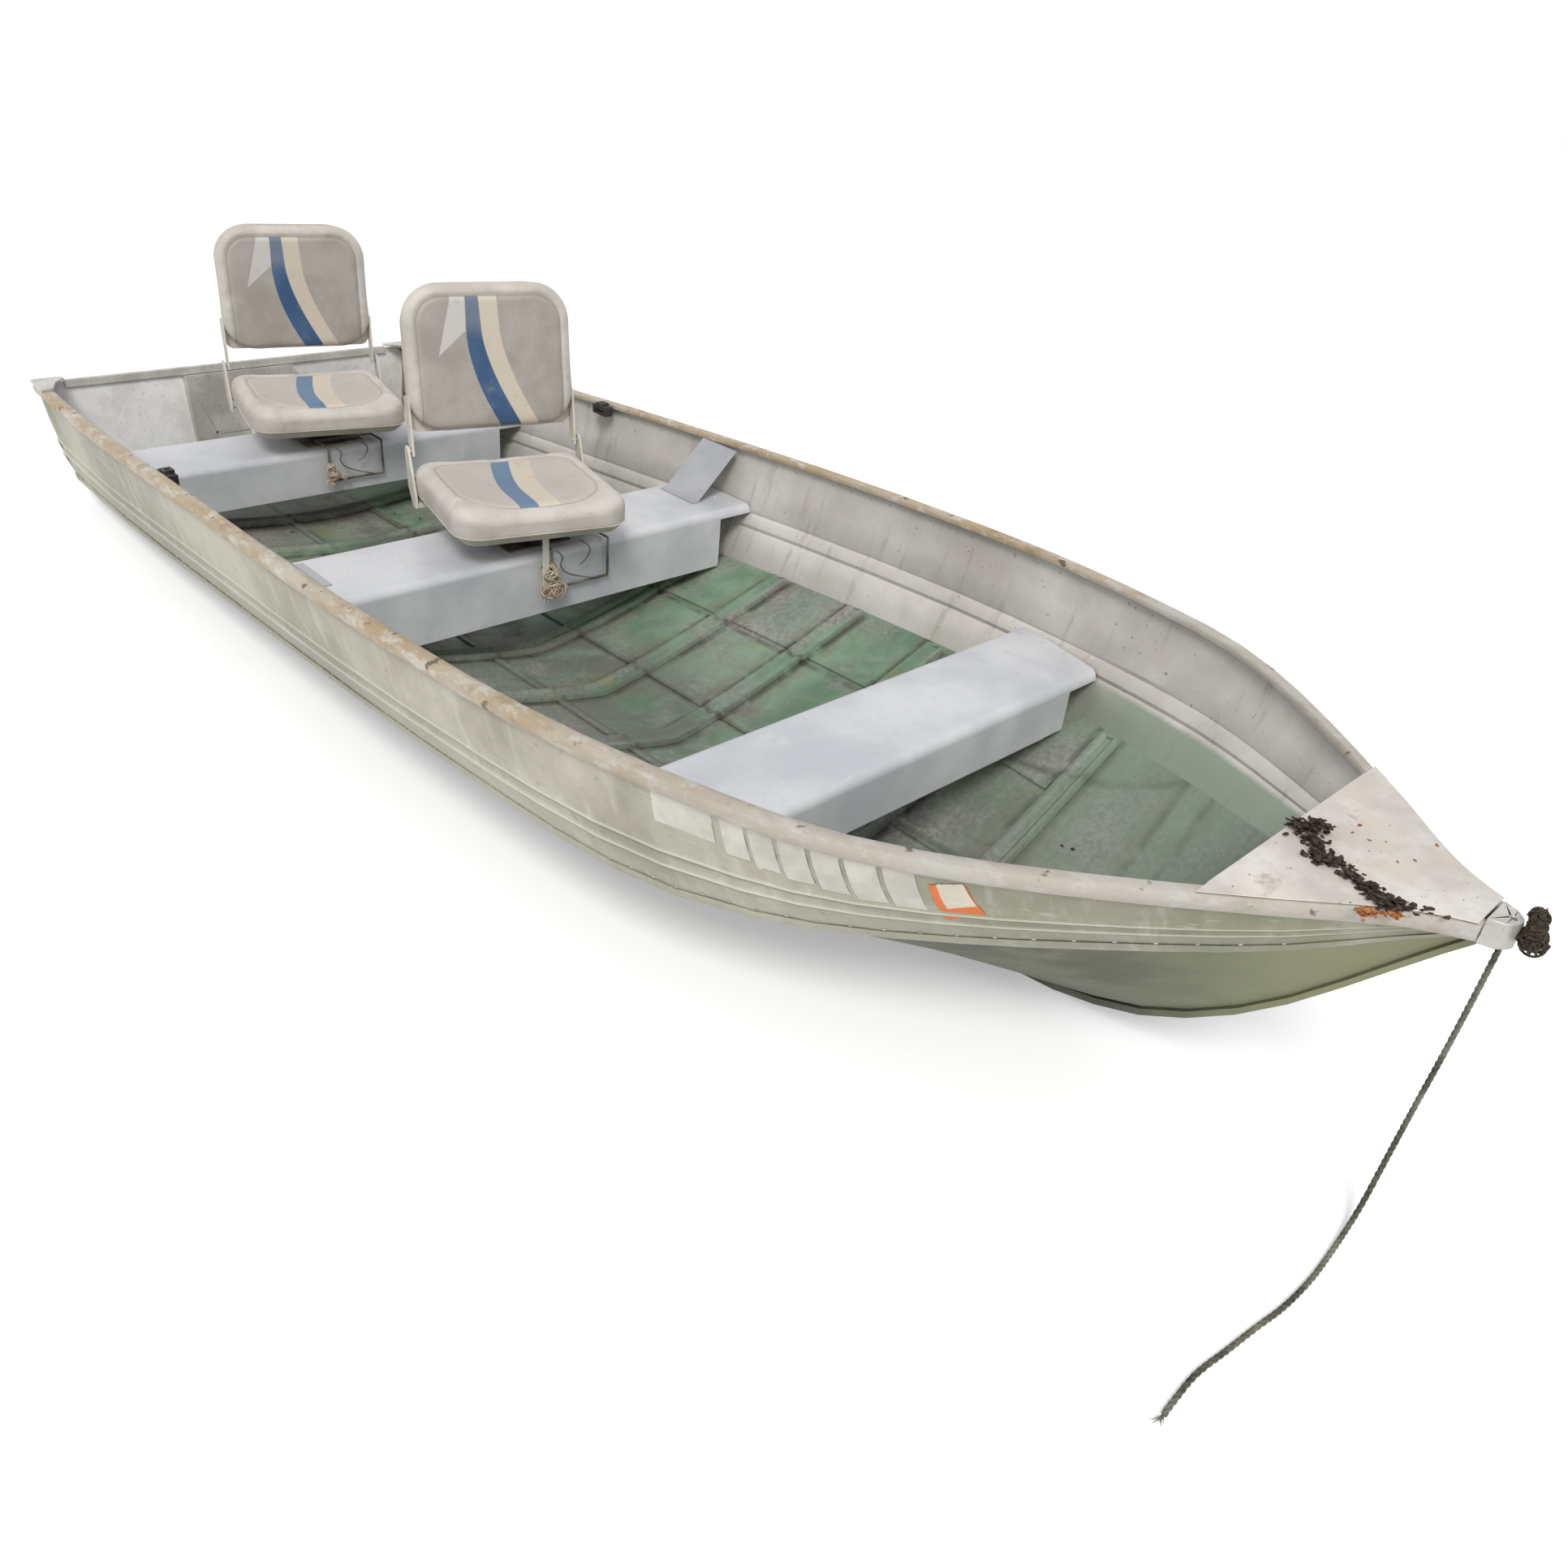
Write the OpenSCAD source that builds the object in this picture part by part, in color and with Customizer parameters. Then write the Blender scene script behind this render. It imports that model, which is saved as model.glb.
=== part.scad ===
// Open riveted aluminium fishing boat, about 4.3 m long, with three bench seats
// and two folding swivel seats. +X is the bow, +Y is the port side, +Z is up.
// The keel's underside is z = 0 and the boat is centred on x = 0 and y = 0.

/* [Hull] */
// Rake of the transom, degrees aft of upright
transom_rake = 10; // [4:1:16]
// Thickness of the hull sheet
sheet_t = 2.2; // [1.6:0.1:3.2]
// Depth of the keel bar under the hull sheet
keel_h = 16; // [10:1:24]
// Width of the keel bar
keel_w = 18; // [12:1:30]
// How far the upper pressed crease stands out of the side
crease_out = 7; // [3:1:10]
// Height of the floor ribs
rib_h = 14; // [8:1:20]
// Spacing of the floor ribs
rib_pitch = 300; // [250:10:400]

/* [Benches] */
// Height of the aft bench top above the keel's underside
aft_bench_z = 285; // [260:5:320]
// Height of the middle bench top
mid_bench_z = 335; // [300:5:360]
// Height of the bow bench top
bow_bench_z = 360; // [330:5:400]
// Width of the aft bench, fore and aft
aft_bench_w = 262; // [230:2:300]
// Width of the middle bench
mid_bench_w = 280; // [240:2:320]
// Width of the bow bench
bow_bench_w = 270; // [240:2:320]
// Thickness of the bench sheet
bench_t = 2.5; // [2:0.1:4]
// Radius of the benches' top edges
bench_r = 22; // [10:1:30]

/* [Seats] */
// Width of a seat cushion
seat_w = 470; // [420:5:500]
// Depth of a seat cushion, fore and aft
seat_d = 440; // [400:5:480]
// Height of the back panel
back_h = 378; // [340:5:420]
// How far the middle seat's back leans aft of upright, degrees
mid_back_lean = 8; // [0:1:15]
// How far the aft seat's back leans aft of upright, degrees
aft_back_lean = 1; // [0:1:15]
// How far the seats stand turned about their swivels, degrees
seat_turn = -14; // [-180:1:180]
// Height of the seat pan's underside above the bench
swivel_h = 60; // [50:1:80]

/* [Hidden] */

x_mid = 2136.5;
gap = 0.4;
deg_r = transom_rake;

// Curves along the hull: [distance from the transom top, value].
gun_y = [[0, 647], [600, 706], [1400, 747], [2200, 774], [2900, 748], [3400, 649],
  [3600, 554], [3800, 405], [4000, 230], [4150, 92], [4270, 26]];
gun_z = [[0, 378], [600, 420], [1400, 470], [2200, 511], [2900, 543], [3600, 575],
  [4270, 608]];
chn_y = [[0, 585], [600, 618], [1400, 642], [2200, 661], [2700, 655], [3000, 632],
  [3200, 588], [3400, 505], [3600, 392], [3800, 262], [4000, 135], [4150, 52], [4270, 14]];
chn_z = [[0, 72], [600, 100], [1400, 146], [2000, 184], [2600, 220], [3000, 238],
  [3200, 258], [3400, 290], [3600, 338], [3800, 392], [4000, 455], [4150, 532],
  [4270, 606]];
prof_z = [[0, 0], [3000, 0], [3300, 0], [3450, 4], [3600, 22], [3772, 81], [3914, 177],
  [4032, 295], [4129, 419], [4216, 530], [4270, 592]];

function seg(x, T, i = 0) = (i >= len(T) - 2 || x < T[i + 1][0]) ? i : seg(x, T, i + 1);
function slope(T, i) = i == 0 ? (T[1][1] - T[0][1]) / (T[1][0] - T[0][0])
  : i == len(T) - 1 ? (T[i][1] - T[i - 1][1]) / (T[i][0] - T[i - 1][0])
  : (T[i + 1][1] - T[i - 1][1]) / (T[i + 1][0] - T[i - 1][0]);
function curve(x, T) = let (i = seg(x, T), h = T[i + 1][0] - T[i][0], s = (x - T[i][0]) / h)
  T[i][1] * (1 + 2 * s) * (1 - s) * (1 - s) + slope(T, i) * h * s * (1 - s) * (1 - s)
  + T[i + 1][1] * s * s * (3 - 2 * s) + slope(T, i + 1) * h * s * s * (s - 1);

// Stations along the hull, and how far each point leans with the transom.
XS = [0, 150, 300, 600, 900, 1200, 1500, 1800, 2100, 2400, 2700, 2850, 3000, 3150, 3300, 3400,
  3500, 3600, 3690, 3780, 3865, 3945, 4020, 4090, 4150, 4200, 4236];
function lean(x, z) = (gun_z[0][1] - z) * tan(deg_r) * max(0, 1 - x / 500);
function keel_z(x) = max(0, curve(x, prof_z));
function bow_pow(x) = x < 2000 ? 2.1 - 0.85 * x / 2000 : 1.25 - 0.15 * (x - 2000) / 2200;

// Outer points of the bottom at fraction f from keel to chine, and of the side at
// fraction g from chine to gunwale with a bead standing out by o.
function bot_s(x, f) = let (k = keel_z(x) + keel_h, z = k + (curve(x, chn_z) - k) * pow(f, bow_pow(x)))
  [x + lean(x, z), f * curve(x, chn_y), z];
function side_s(x, g, o = 0) = let (c = curve(x, chn_y) + 2.6, b = curve(x, gun_y) - 10,
    zc = curve(x, chn_z) + 1.5, z = zc + g * (curve(x, gun_z) - 6 - zc))
  [x + lean(x, z), c + (b - c) * (1 - pow(1 - g, 1.6)) + o * min(1, b / 400), z];
// The same points between stations, on the straight plates the sheets are made of.
function sti(x, i = 0) = (i >= len(XS) - 2 || x < XS[i + 1]) ? i : sti(x, i + 1);
function fi(f, i = 0) = (i >= len(F) - 2 || f < F[i + 1]) ? i : fi(f, i + 1);
function bot_f(x, f) = let (i = fi(f), s = (f - F[i]) / (F[i + 1] - F[i]))
  bot_s(x, F[i]) * (1 - s) + bot_s(x, F[i + 1]) * s;
function bot(x, f) = let (i = sti(x), s = (x - XS[i]) / (XS[i + 1] - XS[i]))
  bot_f(XS[i], f) * (1 - s) + bot_f(XS[i + 1], f) * s;
function side(x, g) = let (i = sti(x), s = (x - XS[i]) / (XS[i + 1] - XS[i]))
  side_s(XS[i], g) * (1 - s) + side_s(XS[i + 1], g) * s;
function side_g(x, z) = let (zc = curve(x, chn_z) + 1.5) (z - zc) / (curve(x, gun_z) - 6 - zc);
// Inner half-breadth of the side at height z.
function in_y(x, z) = side(x, side_g(x, z))[1] - sheet_t;

F = [0, 0.06, 0.2, 0.35, 0.5, 0.65, 0.8, 0.92, 1];
G = [[0, 0], [0.12, 0], [0.25, 0], [0.285, 1], [0.32, 0], [0.385, 0], [0.42, 0.85],
  [0.455, 0], [0.65, 0], [0.85, 0], [1, 0]];
up = [0, 0, 1];

module loft(R) {
  n = len(R);
  m = len(R[0]);
  polyhedron(points = [for (r = R) for (p = r) p], faces = concat(
    [[for (j = [0:m - 1]) j]], [[for (j = [m - 1:-1:0]) (n - 1) * m + j]],
    [for (i = [0:n - 2]) for (j = [0:m - 1]) each [
      [i * m + j, (i + 1) * m + (j + 1) % m, i * m + (j + 1) % m],
      [i * m + j, (i + 1) * m + j, (i + 1) * m + (j + 1) % m]]]));
}
module place() { translate([-x_mid, 0, 0]) children(); }
module both() { children(); mirror([0, 1, 0]) children(); }
// Puts a shape drawn on the transom's plane (x aft to fore, z up the plane) in place.
module on_transom() {
  translate([gun_z[0][1] * tan(deg_r), 0, 0]) rotate([0, -deg_r, 0]) children();
}

// Each half of the bottom is two sheets, and their seam lies under the bow bench.
SEAM_X = 3000;
module bottom_sheet(fore) {
  n = len(F);
  KX = fore ? concat([SEAM_X + 0.2], [for (x = XS) if (x > SEAM_X) x])
    : concat([for (x = XS) if (x < SEAM_X) x], [SEAM_X - 0.2]);
  loft([for (x = KX) concat([for (f = F) bot_s(x, f) + up * sheet_t],
    [for (i = [n - 1:-1:0]) bot_s(x, F[i])])]);
}
module bottom_port() color("darkseagreen") place() bottom_sheet(false);
module bottom_starboard() color("darkseagreen") place() mirror([0, 1, 0]) bottom_sheet(false);
module bow_bottom_port() color("darkseagreen") place() bottom_sheet(true);
module bow_bottom_starboard() color("darkseagreen") place() mirror([0, 1, 0]) bottom_sheet(true);
module side_sheet() {
  loft([for (x = XS) concat(
    [for (g = G) side_s(x, g[0], g[1] * crease_out) - [0, sheet_t, 0]],
    [for (i = [len(G) - 1:-1:0]) side_s(x, G[i][0], G[i][1] * crease_out)])]);
}
module side_port() color("lightgray") place() side_sheet();
module side_starboard() color("lightgray") place() mirror([0, 1, 0]) side_sheet();

module chine_rail() {
  loft([for (x = XS) let (a = bot_f(x, 0.96), c = bot_s(x, 1), s = side_s(x, 0.06))
    [a - [0, 0, 4 * gap], c + [0, 1.2, -4 * gap], c + [0, 3.2, 0.6], s + [0, gap, 0],
      s + [0, 3.4, 0], c + [0, 7, -1], c + [0, 2, -5], a - [0, 0, 4]]]);
}
module chine_rails() color("silver") place() both() chine_rail();

module keel_and_stem() color("silver") place() {
  KX = concat([70], [for (x = XS) if (x > 100 && x < 4230) x], [4234]);
  rotate([90, 0, 0]) translate([0, 0, -keel_w / 2]) linear_extrude(keel_w)
    polygon(concat([for (x = KX) [x, keel_z(x)]],
      [for (i = [len(KX) - 1:-1:0]) let (x = KX[i]) [x, bot(x, 0)[2] - gap - 0.2]]));
}

module skid_strake(y) {
  loft([for (x = [70, 250, 450, 650, 800]) let (f = y / curve(x, chn_y), g = (y + 26) / curve(x, chn_y),
      a = bot(x, f), b = bot(x, g), z = x > 700 ? a[2] - 6 : 0)
    [[x, y, a[2] - 0.8], [x, y, z], [x, y + 26, z], [x, y + 26, a[2] - 0.8]]]);
}
module skid_strakes() color("silver") place() both() skid_strake(272);

module gunwale() {
  GX = concat([8], [for (x = XS) if (x > 10) x]);
  loft([for (x = GX) let (z = curve(x, gun_z), b = curve(x, gun_y), l = lean(x, z),
      k = min(1, b / 60), w = 30 * k)
    [[x + l, b - 9.5, z - 34], [x + l, b - 9.5, z - 5.6], [x + l, b - w + 4 * k, z - 5.6],
      [x + l, b - w + 4 * k, z - 15], [x + l, b - w, z - 15], [x + l, b - w, z - 5],
      [x + l, b - w + 5 * k, z], [x + l, b - 5, z], [x + l, b + 3, z - 3], [x + l, b + 6, z - 13],
      [x + l, b + 2, z - 28], [x + l, b - 4, z - 34]]]);
}
module gunwale_port() color("tan") place() gunwale();
module gunwale_starboard() color("tan") place() mirror([0, 1, 0]) gunwale();

w_top = 372 / cos(deg_r);
module transom() color("lightgray") place() {
  FF = F;
  half = concat([for (f = FF) let (p = bot_s(0, f)) [p[1], p[2] / cos(deg_r)]],
    [for (g = [0, 0.12, 0.25, 0.45, 0.65, 0.85, 1]) let (p = side_s(0, g)) [p[1], p[2] / cos(deg_r)]]);
  on_transom() translate([-3.4, 0, 0]) rotate([90, 0, 90]) linear_extrude(3)
    difference() {
      polygon(concat(half, [for (i = [len(half) - 1:-1:1]) [-half[i][0], half[i][1]]]));
      translate([0, 48]) circle(d = 26);
    }
}
module transom_cap() color("silver") place() on_transom() {
  rotate([90, 0, 0]) translate([0, 0, -560]) linear_extrude(1120)
    polygon([[-8, w_top + gap - 22], [-3.8, w_top + gap - 22], [-3.8, w_top + gap], [4, w_top + gap],
      [4, w_top - 20], [8, w_top - 20], [8, w_top + 3], [5, w_top + 6], [-5, w_top + 6], [-8, w_top + 3]]);
}
module stern_corners() color("gainsboro") place() both()
  translate([0, 0, gun_z[0][1] + 0.8]) rotate([0, -4, 0]) linear_extrude(7) difference() {
    polygon([[-10, 561], [-12, 640], [-4, 654], [20, 656], [150, 672], [150, 634], [60, 600], [14, 561]]);
    translate([10, 640]) circle(d = 6);
  }
module motor_boards() color("silver") place() on_transom() {
  difference() {
    translate([0, -190, 130]) cube([24, 380, w_top - 152]);
    for (y = [-120, 120]) translate([-1, y, 160]) rotate([0, 90, 0]) cylinder(d = 9, h = 26);
  }
  translate([-7.8, -150, 190]) cube([4, 300, w_top - 214]);
}
module drain_fitting() color("goldenrod") place() on_transom() {
  translate([-9, 0, 48]) rotate([0, 90, 0]) difference() {
    union() {
      cylinder(d = 25, h = 30);
      translate([0, 0, 0]) cylinder(d = 44, h = 5.2);
    }
    translate([0, 0, -1]) cylinder(d = 19, h = 40);
  }
}
module transom_knee() color("silver") place() {
  difference() {
    rotate([90, 0, 0]) translate([0, 0, -4]) linear_extrude(8)
      polygon([[62, 96], [210, 96], [205, 106], [150, 132], [95, 220], [88, 250], [50, 250]]);
    on_transom() translate([-30, -20, 0]) cube([54.5, 40, 400]);
  }
}

rib_n = floor((3500 - rib_pitch) / rib_pitch) + 1;
module rib(x, f1, lift) {
  n = len(F);
  E = [for (i = [0:n - 1]) min(F[i], f1)];
  EE = concat([for (i = [n - 1:-1:1]) -E[i]], E);
  loft([for (f = EE) let (s = f < 0 ? -1 : 1, g = abs(f), h = sheet_t + lift)
    [for (q = [[-34, 0], [34, 0], [34, 2.2], [27, rib_h - 1], [17, rib_h], [9, 5], [-9, 5], [-17, rib_h],
      [-27, rib_h - 1], [-34, 2.2]]) let (p = bot(x + q[0], g)) [p[0], s * p[1], p[2] + h + q[1]]]]);
}
module floor_ribs() color("darkseagreen") place()
  for (i = [1:8]) rib(i * rib_pitch, 0.98, 0.8);
module bow_ribs() color("darkseagreen") place()
  for (i = [9:11]) rib(i * rib_pitch, 0.965, 2);
module stringer(f, x0, x1) {
  loft([for (x = [x0, (x0 + x1) / 2, x1]) let (a = bot(x, f), b = bot(x, f + 0.045), h = sheet_t + 1.6)
    [a + up * h, b + up * h, b + up * (h + 5), a + up * (h + 5)]]);
}
module floor_stringers() color("darkseagreen") place() both()
  for (i = [2:10]) for (f = [0.2, 0.655]) stringer(f, i * rib_pitch + 37, (i + 1) * rib_pitch - 37);

module bench(x0, w, zt, hf, cut) {
  x1 = x0 + w;
  t = bench_t;
  r = bench_r;
  intersection() {
    difference() {
      rotate([90, 0, 0]) translate([0, 0, -720]) linear_extrude(1440) difference() {
        union() {
          translate([x0, zt - hf]) square([w, hf - r]);
          translate([x0 + r, zt - r]) square([w - 2 * r, r]);
          translate([x0 + r, zt - r]) circle(r = r, $fn = 48);
          translate([x1 - r, zt - r]) circle(r = r, $fn = 48);
        }
        union() {
          translate([x0 + t, zt - hf - 1]) square([w - 2 * t, hf - r + 1]);
          translate([x0 + r, zt - r - 1]) square([w - 2 * r, r - t + 1]);
          translate([x0 + r, zt - r]) circle(r = r - t, $fn = 48);
          translate([x1 - r, zt - r]) circle(r = r - t, $fn = 48);
        }
      }
      both() translate([x0 - 1, in_y(x1, zt - hf / 2) - cut, zt - hf - 1]) cube([w + 2, 200, hf - r]);
    }
    PX = [for (i = [0:6]) x0 + w * i / 6];
    translate([0, 0, zt - hf - 2]) linear_extrude(hf + 4)
      polygon(concat([for (x = PX) [x, in_y(x, zt - r) - gap]],
        [for (i = [6:-1:0]) [PX[i], -in_y(PX[i], zt - r) + gap]]));
  }
}
aft_x = 472;
mid_x = 1602;
bow_x = 2907;
module bench_aft() color("lightsteelblue") place() bench(aft_x, aft_bench_w, aft_bench_z, 140, 75);
module bench_mid() color("lightsteelblue") place() bench(mid_x, mid_bench_w, mid_bench_z, 168, 92);
module bench_bow() color("lightsteelblue") place() bench(bow_x, bow_bench_w, bow_bench_z, 122, 85);
module bench_foam() color("white") place() {
  for (b = [[aft_x, aft_bench_w, aft_bench_z, 118, 520], [mid_x, mid_bench_w, mid_bench_z, 140, 540],
      [bow_x, bow_bench_w, bow_bench_z, 105, 470]])
    translate([b[0] + bench_t + 0.3, -b[4], b[2] - b[3] - bench_r])
      cube([b[1] - 2 * bench_t - 0.6, 2 * b[4], b[3]]);
}
module bench_brackets() color("silver") place() both()
  for (b = [[aft_x, aft_bench_w, aft_bench_z], [mid_x, mid_bench_w, mid_bench_z],
      [bow_x, bow_bench_w, bow_bench_z]]) for (k = [0.25, 0.75])
    let (x = b[0] + b[1] * k - 25, z = b[2] - bench_t - gap,
      y = min(in_y(x, z - 28), in_y(x + 50, z - 28)) - 0.8)
    translate([x, 0, 0]) rotate([90, 0, 90]) linear_extrude(50)
      polygon([[y, z - 28], [y, z], [y - 36, z], [y - 36, z - 3], [y - 3, z - 3], [y - 3, z - 28]]);

module gunwale_knee() {
  // A flat brace that slopes from the gunwale's inner edge down to the bench top.
  y1 = curve(1700, gun_y) - 34;
  z1 = curve(1640, gun_z) - 18.5;
  y0 = 590;
  z0 = mid_bench_z + 4;
  rotate([90, 0, 90]) translate([0, 0, 1640]) linear_extrude(150)
    polygon([[y0, z0], [y1, z1], [y1 + 6, z1], [y1 + 6, z1 + 3], [y1 - 2, z1 + 3], [y0 - 3, z0 + 1],
      [y0 - 26, z0 + 0.5 - 0.5], [y0 - 26, z0 - 3.6], [y0, z0 - 3.6]]);
}
module gunwale_knees() color("gainsboro") place() both() gunwale_knee();

module oarlock_sockets() color("dimgray") place() both()
  for (x = [1180]) let (b = curve(x - 34, gun_y) + 0.6, z = curve(x, gun_z))
    difference() {
      union() {
        translate([x - 34, b - 60, z - 36]) cube([68, 29, 30]);
        translate([x - 15, b - 60, z - 6]) cube([30, 29, 8]);
      }
      translate([x, b - 46, z - 60]) cylinder(d = 13, h = 80);
      for (s = [-24, 24]) translate([x + s, b - 70, z - 21]) rotate([-90, 0, 0]) cylinder(d = 6, h = 50);
    }

module bow_deck() color("ivory") place() {
  DX = [3925, 3975, 4020, 4060, 4100, 4140, 4175, 4205, 4232];
  loft([for (x = DX) let (b = curve(x, gun_y) + 3, z = curve(x, gun_z) + gap + 0.3)
    [[x, -b, z], [x, b, z], [x, b, z + 2.5], [x, b * 0.5, z + 4.5], [x, 0, z + 5.2],
      [x, -b * 0.5, z + 4.5], [x, -b, z + 2.5]]]);
  let (b = curve(3925, gun_y) - 34, z = curve(3925, gun_z) + 0.1)
    translate([3922, -b, z - 26]) cube([2.4, 2 * b, 26]);
}
module bow_nose() color("silver") place() {
  let (z = curve(4250, gun_z)) difference() {
    translate([0, 0, z - 40]) linear_extrude(46)
      polygon([[4236.4, -34], [4236.4, 34], [4260, 26], [4273, 12], [4277, 0], [4273, -12], [4260, -26]]);
    translate([4262, 0, z - 60]) cylinder(d = 2 * rope_r + 0.8, h = 90, $fn = 40);
  }
}
post_d = 20;
hoop_w = 182;
module seat_clamp(x0, w, zt, hoop_y) {
  cx = x0 + w / 2;
  z = zt + gap;
  translate([cx - 95, -95, z]) difference() {
    cube([190, 190, 4]);
    for (p = [[20, 20], [170, 20], [20, 170], [170, 170]]) translate([p[0], p[1], -1]) cylinder(d = 7, h = 8);
  }
  translate([cx, 0, z + 4]) cylinder(d = 60, h = 12);
  translate([cx, 0, z + 16]) cylinder(d = post_d, h = 14);
  // Wire hooks that reach over the bench's front edge.
  for (y = [hoop_y, hoop_y + hoop_w]) {
    translate([cx + 60, y, z + 8]) rotate([0, 90, 0]) cylinder(d = 7, h = w / 2 - 50);
    translate([x0 + w + 10, y, z - 100]) cylinder(d = 7, h = 108);
    translate([x0 + w + 10, y, z + 8]) sphere(d = 7, $fn = 32);
  }
  translate([x0 + w + 10, hoop_y, z - 100]) rotate([-90, 0, 0]) cylinder(d = 7, h = hoop_w);
  translate([cx + 60, hoop_y - 6, z + 4]) cube([10, hoop_w + 12, 10]);
}
module aft_seat_clamp() color("dimgray") place() seat_clamp(aft_x, aft_bench_w, aft_bench_z, -47);
module mid_seat_clamp() color("dimgray") place() seat_clamp(mid_x, mid_bench_w, mid_bench_z, -3);

// Seat parts are drawn about the swivel's axis, with z = 0 on the bench top.
back_w = seat_w - 10;
back_z = 42;
hinge_x = 30 - seat_d / 2;
hinge_z = swivel_h + 126;
module swivel() {
  difference() {
    union() {
      translate([0, 0, gap + 16 + gap]) cylinder(d = 130, h = 17.2);
      translate([-100, -100, 34]) cube([200, 200, 5]);
      for (y = [-90, -12, 66]) translate([-80, y, 39]) cube([160, 24, swivel_h - 39.3]);
    }
    translate([0, 0, 10]) cylinder(d = post_d + 0.7, h = 24);
  }
}
module seat_shell() {
  // A shallow plastic pan with two arms at its aft corners that carry the back.
  translate([0, 0, swivel_h]) difference() {
    hull() for (sx = [-1, 1]) for (sy = [-1, 1])
      translate([sx * (seat_d / 2 - 70), sy * (seat_w / 2 - 70), 0]) {
        cylinder(r1 = 40, r2 = 68, h = 26, $fn = 32);
      }
    hull() for (sx = [-1, 1]) for (sy = [-1, 1])
      translate([sx * (seat_d / 2 - 70), sy * (seat_w / 2 - 70), 8]) {
        cylinder(r1 = 40, r2 = 64, h = 26, $fn = 32);
      }
  }
  for (s = [-1, 1]) translate([hinge_x, s * (back_w / 2 + 9), 0]) {
    rotate([90, 0, 0]) translate([0, 0, -3]) linear_extrude(6)
      polygon([[62, swivel_h - 9], [60, swivel_h + 26], [16, hinge_z + 4], [8, hinge_z + 14], [-8, hinge_z + 14],
        [-16, hinge_z], [0, swivel_h + 30], [34, swivel_h - 9]]);
    translate([0, -s * 18, hinge_z]) rotate([s * -90, 0, 0]) cylinder(d = 8.4, h = 18);
  }
  translate([hinge_x + 38, -back_w / 2 - 12, swivel_h - 9]) cube([20, back_w + 24, 12]);
}
module cushion() {
  translate([0, 0, swivel_h + 8.4]) hull() for (sx = [-1, 1]) for (sy = [-1, 1])
    translate([sx * (seat_d / 2 - 72), sy * (seat_w / 2 - 72), 0])
      cylinder(r1 = 36, r2 = 54, h = 19, $fn = 32);
  translate([0, 0, swivel_h + 26.4]) hull() for (sx = [-1, 1]) for (sy = [-1, 1])
    translate([sx * (seat_d / 2 - 72), sy * (seat_w / 2 - 72), 0]) {
      cylinder(r = 66, h = 44, $fn = 32);
      translate([0, 0, 44]) cylinder(r1 = 66, r2 = 46, h = 19, $fn = 32);
    }
}
// Back parts are drawn about the hinge: x forward, z up the back.
module back_shell() {
  translate([-26, 0, back_z]) rotate([90, 0, 90]) linear_extrude(12) hull() {
    for (s = [-1, 1]) {
      translate([s * (back_w / 2 - 34), 30]) circle(r = 26, $fn = 32);
      translate([s * (back_w / 2 - 116), back_h - 112]) circle(r = 106, $fn = 48);
    }
  }
  for (s = [-1, 1]) translate([-18, s * (back_w / 2 - 4), 0]) {
    difference() {
      translate([0, -3, -12]) cube([30, 6, 150]);
      translate([18, 0, 0]) rotate([90, 0, 0]) cylinder(d = 9, h = 20, center = true);
    }
    translate([-8, -3, 60]) cube([10, 6, 78]);
  }
}
module back_pad() {
  translate([-13.6, 0, back_z]) hull() {
    for (s = [-1, 1]) {
      translate([0, s * (back_w / 2 - 36), 28]) rotate([0, 90, 0]) cylinder(r = 28, h = 30, $fn = 32);
      translate([0, s * (back_w / 2 - 114), back_h - 106]) rotate([0, 90, 0]) cylinder(r = 106, h = 30, $fn = 48);
      translate([0, s * (back_w / 2 - 50), 42]) rotate([0, 90, 0]) cylinder(r = 26, h = 42, $fn = 32);
      translate([0, s * (back_w / 2 - 122), back_h - 114]) rotate([0, 90, 0]) cylinder(r = 94, h = 42, $fn = 48);
    }
  }
}
module at_seat(x0, w, zt) {
  translate([x0 + w / 2 - x_mid, 0, zt]) rotate([0, 0, seat_turn]) children();
}
module at_back(x0, w, zt, lean) {
  at_seat(x0, w, zt) translate([hinge_x, 0, hinge_z]) rotate([0, -lean, 0]) children();
}
module aft_swivel() color("dimgray") at_seat(aft_x, aft_bench_w, aft_bench_z) swivel();
module mid_swivel() color("dimgray") at_seat(mid_x, mid_bench_w, mid_bench_z) swivel();
module aft_seat_shell() color("beige") at_seat(aft_x, aft_bench_w, aft_bench_z) seat_shell();
module mid_seat_shell() color("beige") at_seat(mid_x, mid_bench_w, mid_bench_z) seat_shell();
module aft_cushion() color("linen") at_seat(aft_x, aft_bench_w, aft_bench_z) cushion();
module mid_cushion() color("linen") at_seat(mid_x, mid_bench_w, mid_bench_z) cushion();
module aft_back_shell() color("beige") at_back(aft_x, aft_bench_w, aft_bench_z, aft_back_lean) back_shell();
module mid_back_shell() color("beige") at_back(mid_x, mid_bench_w, mid_bench_z, mid_back_lean) back_shell();
module aft_back_pad() color("linen") at_back(aft_x, aft_bench_w, aft_bench_z, aft_back_lean) back_pad();
module mid_back_pad() color("linen") at_back(mid_x, mid_bench_w, mid_bench_z, mid_back_lean) back_pad();

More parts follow.
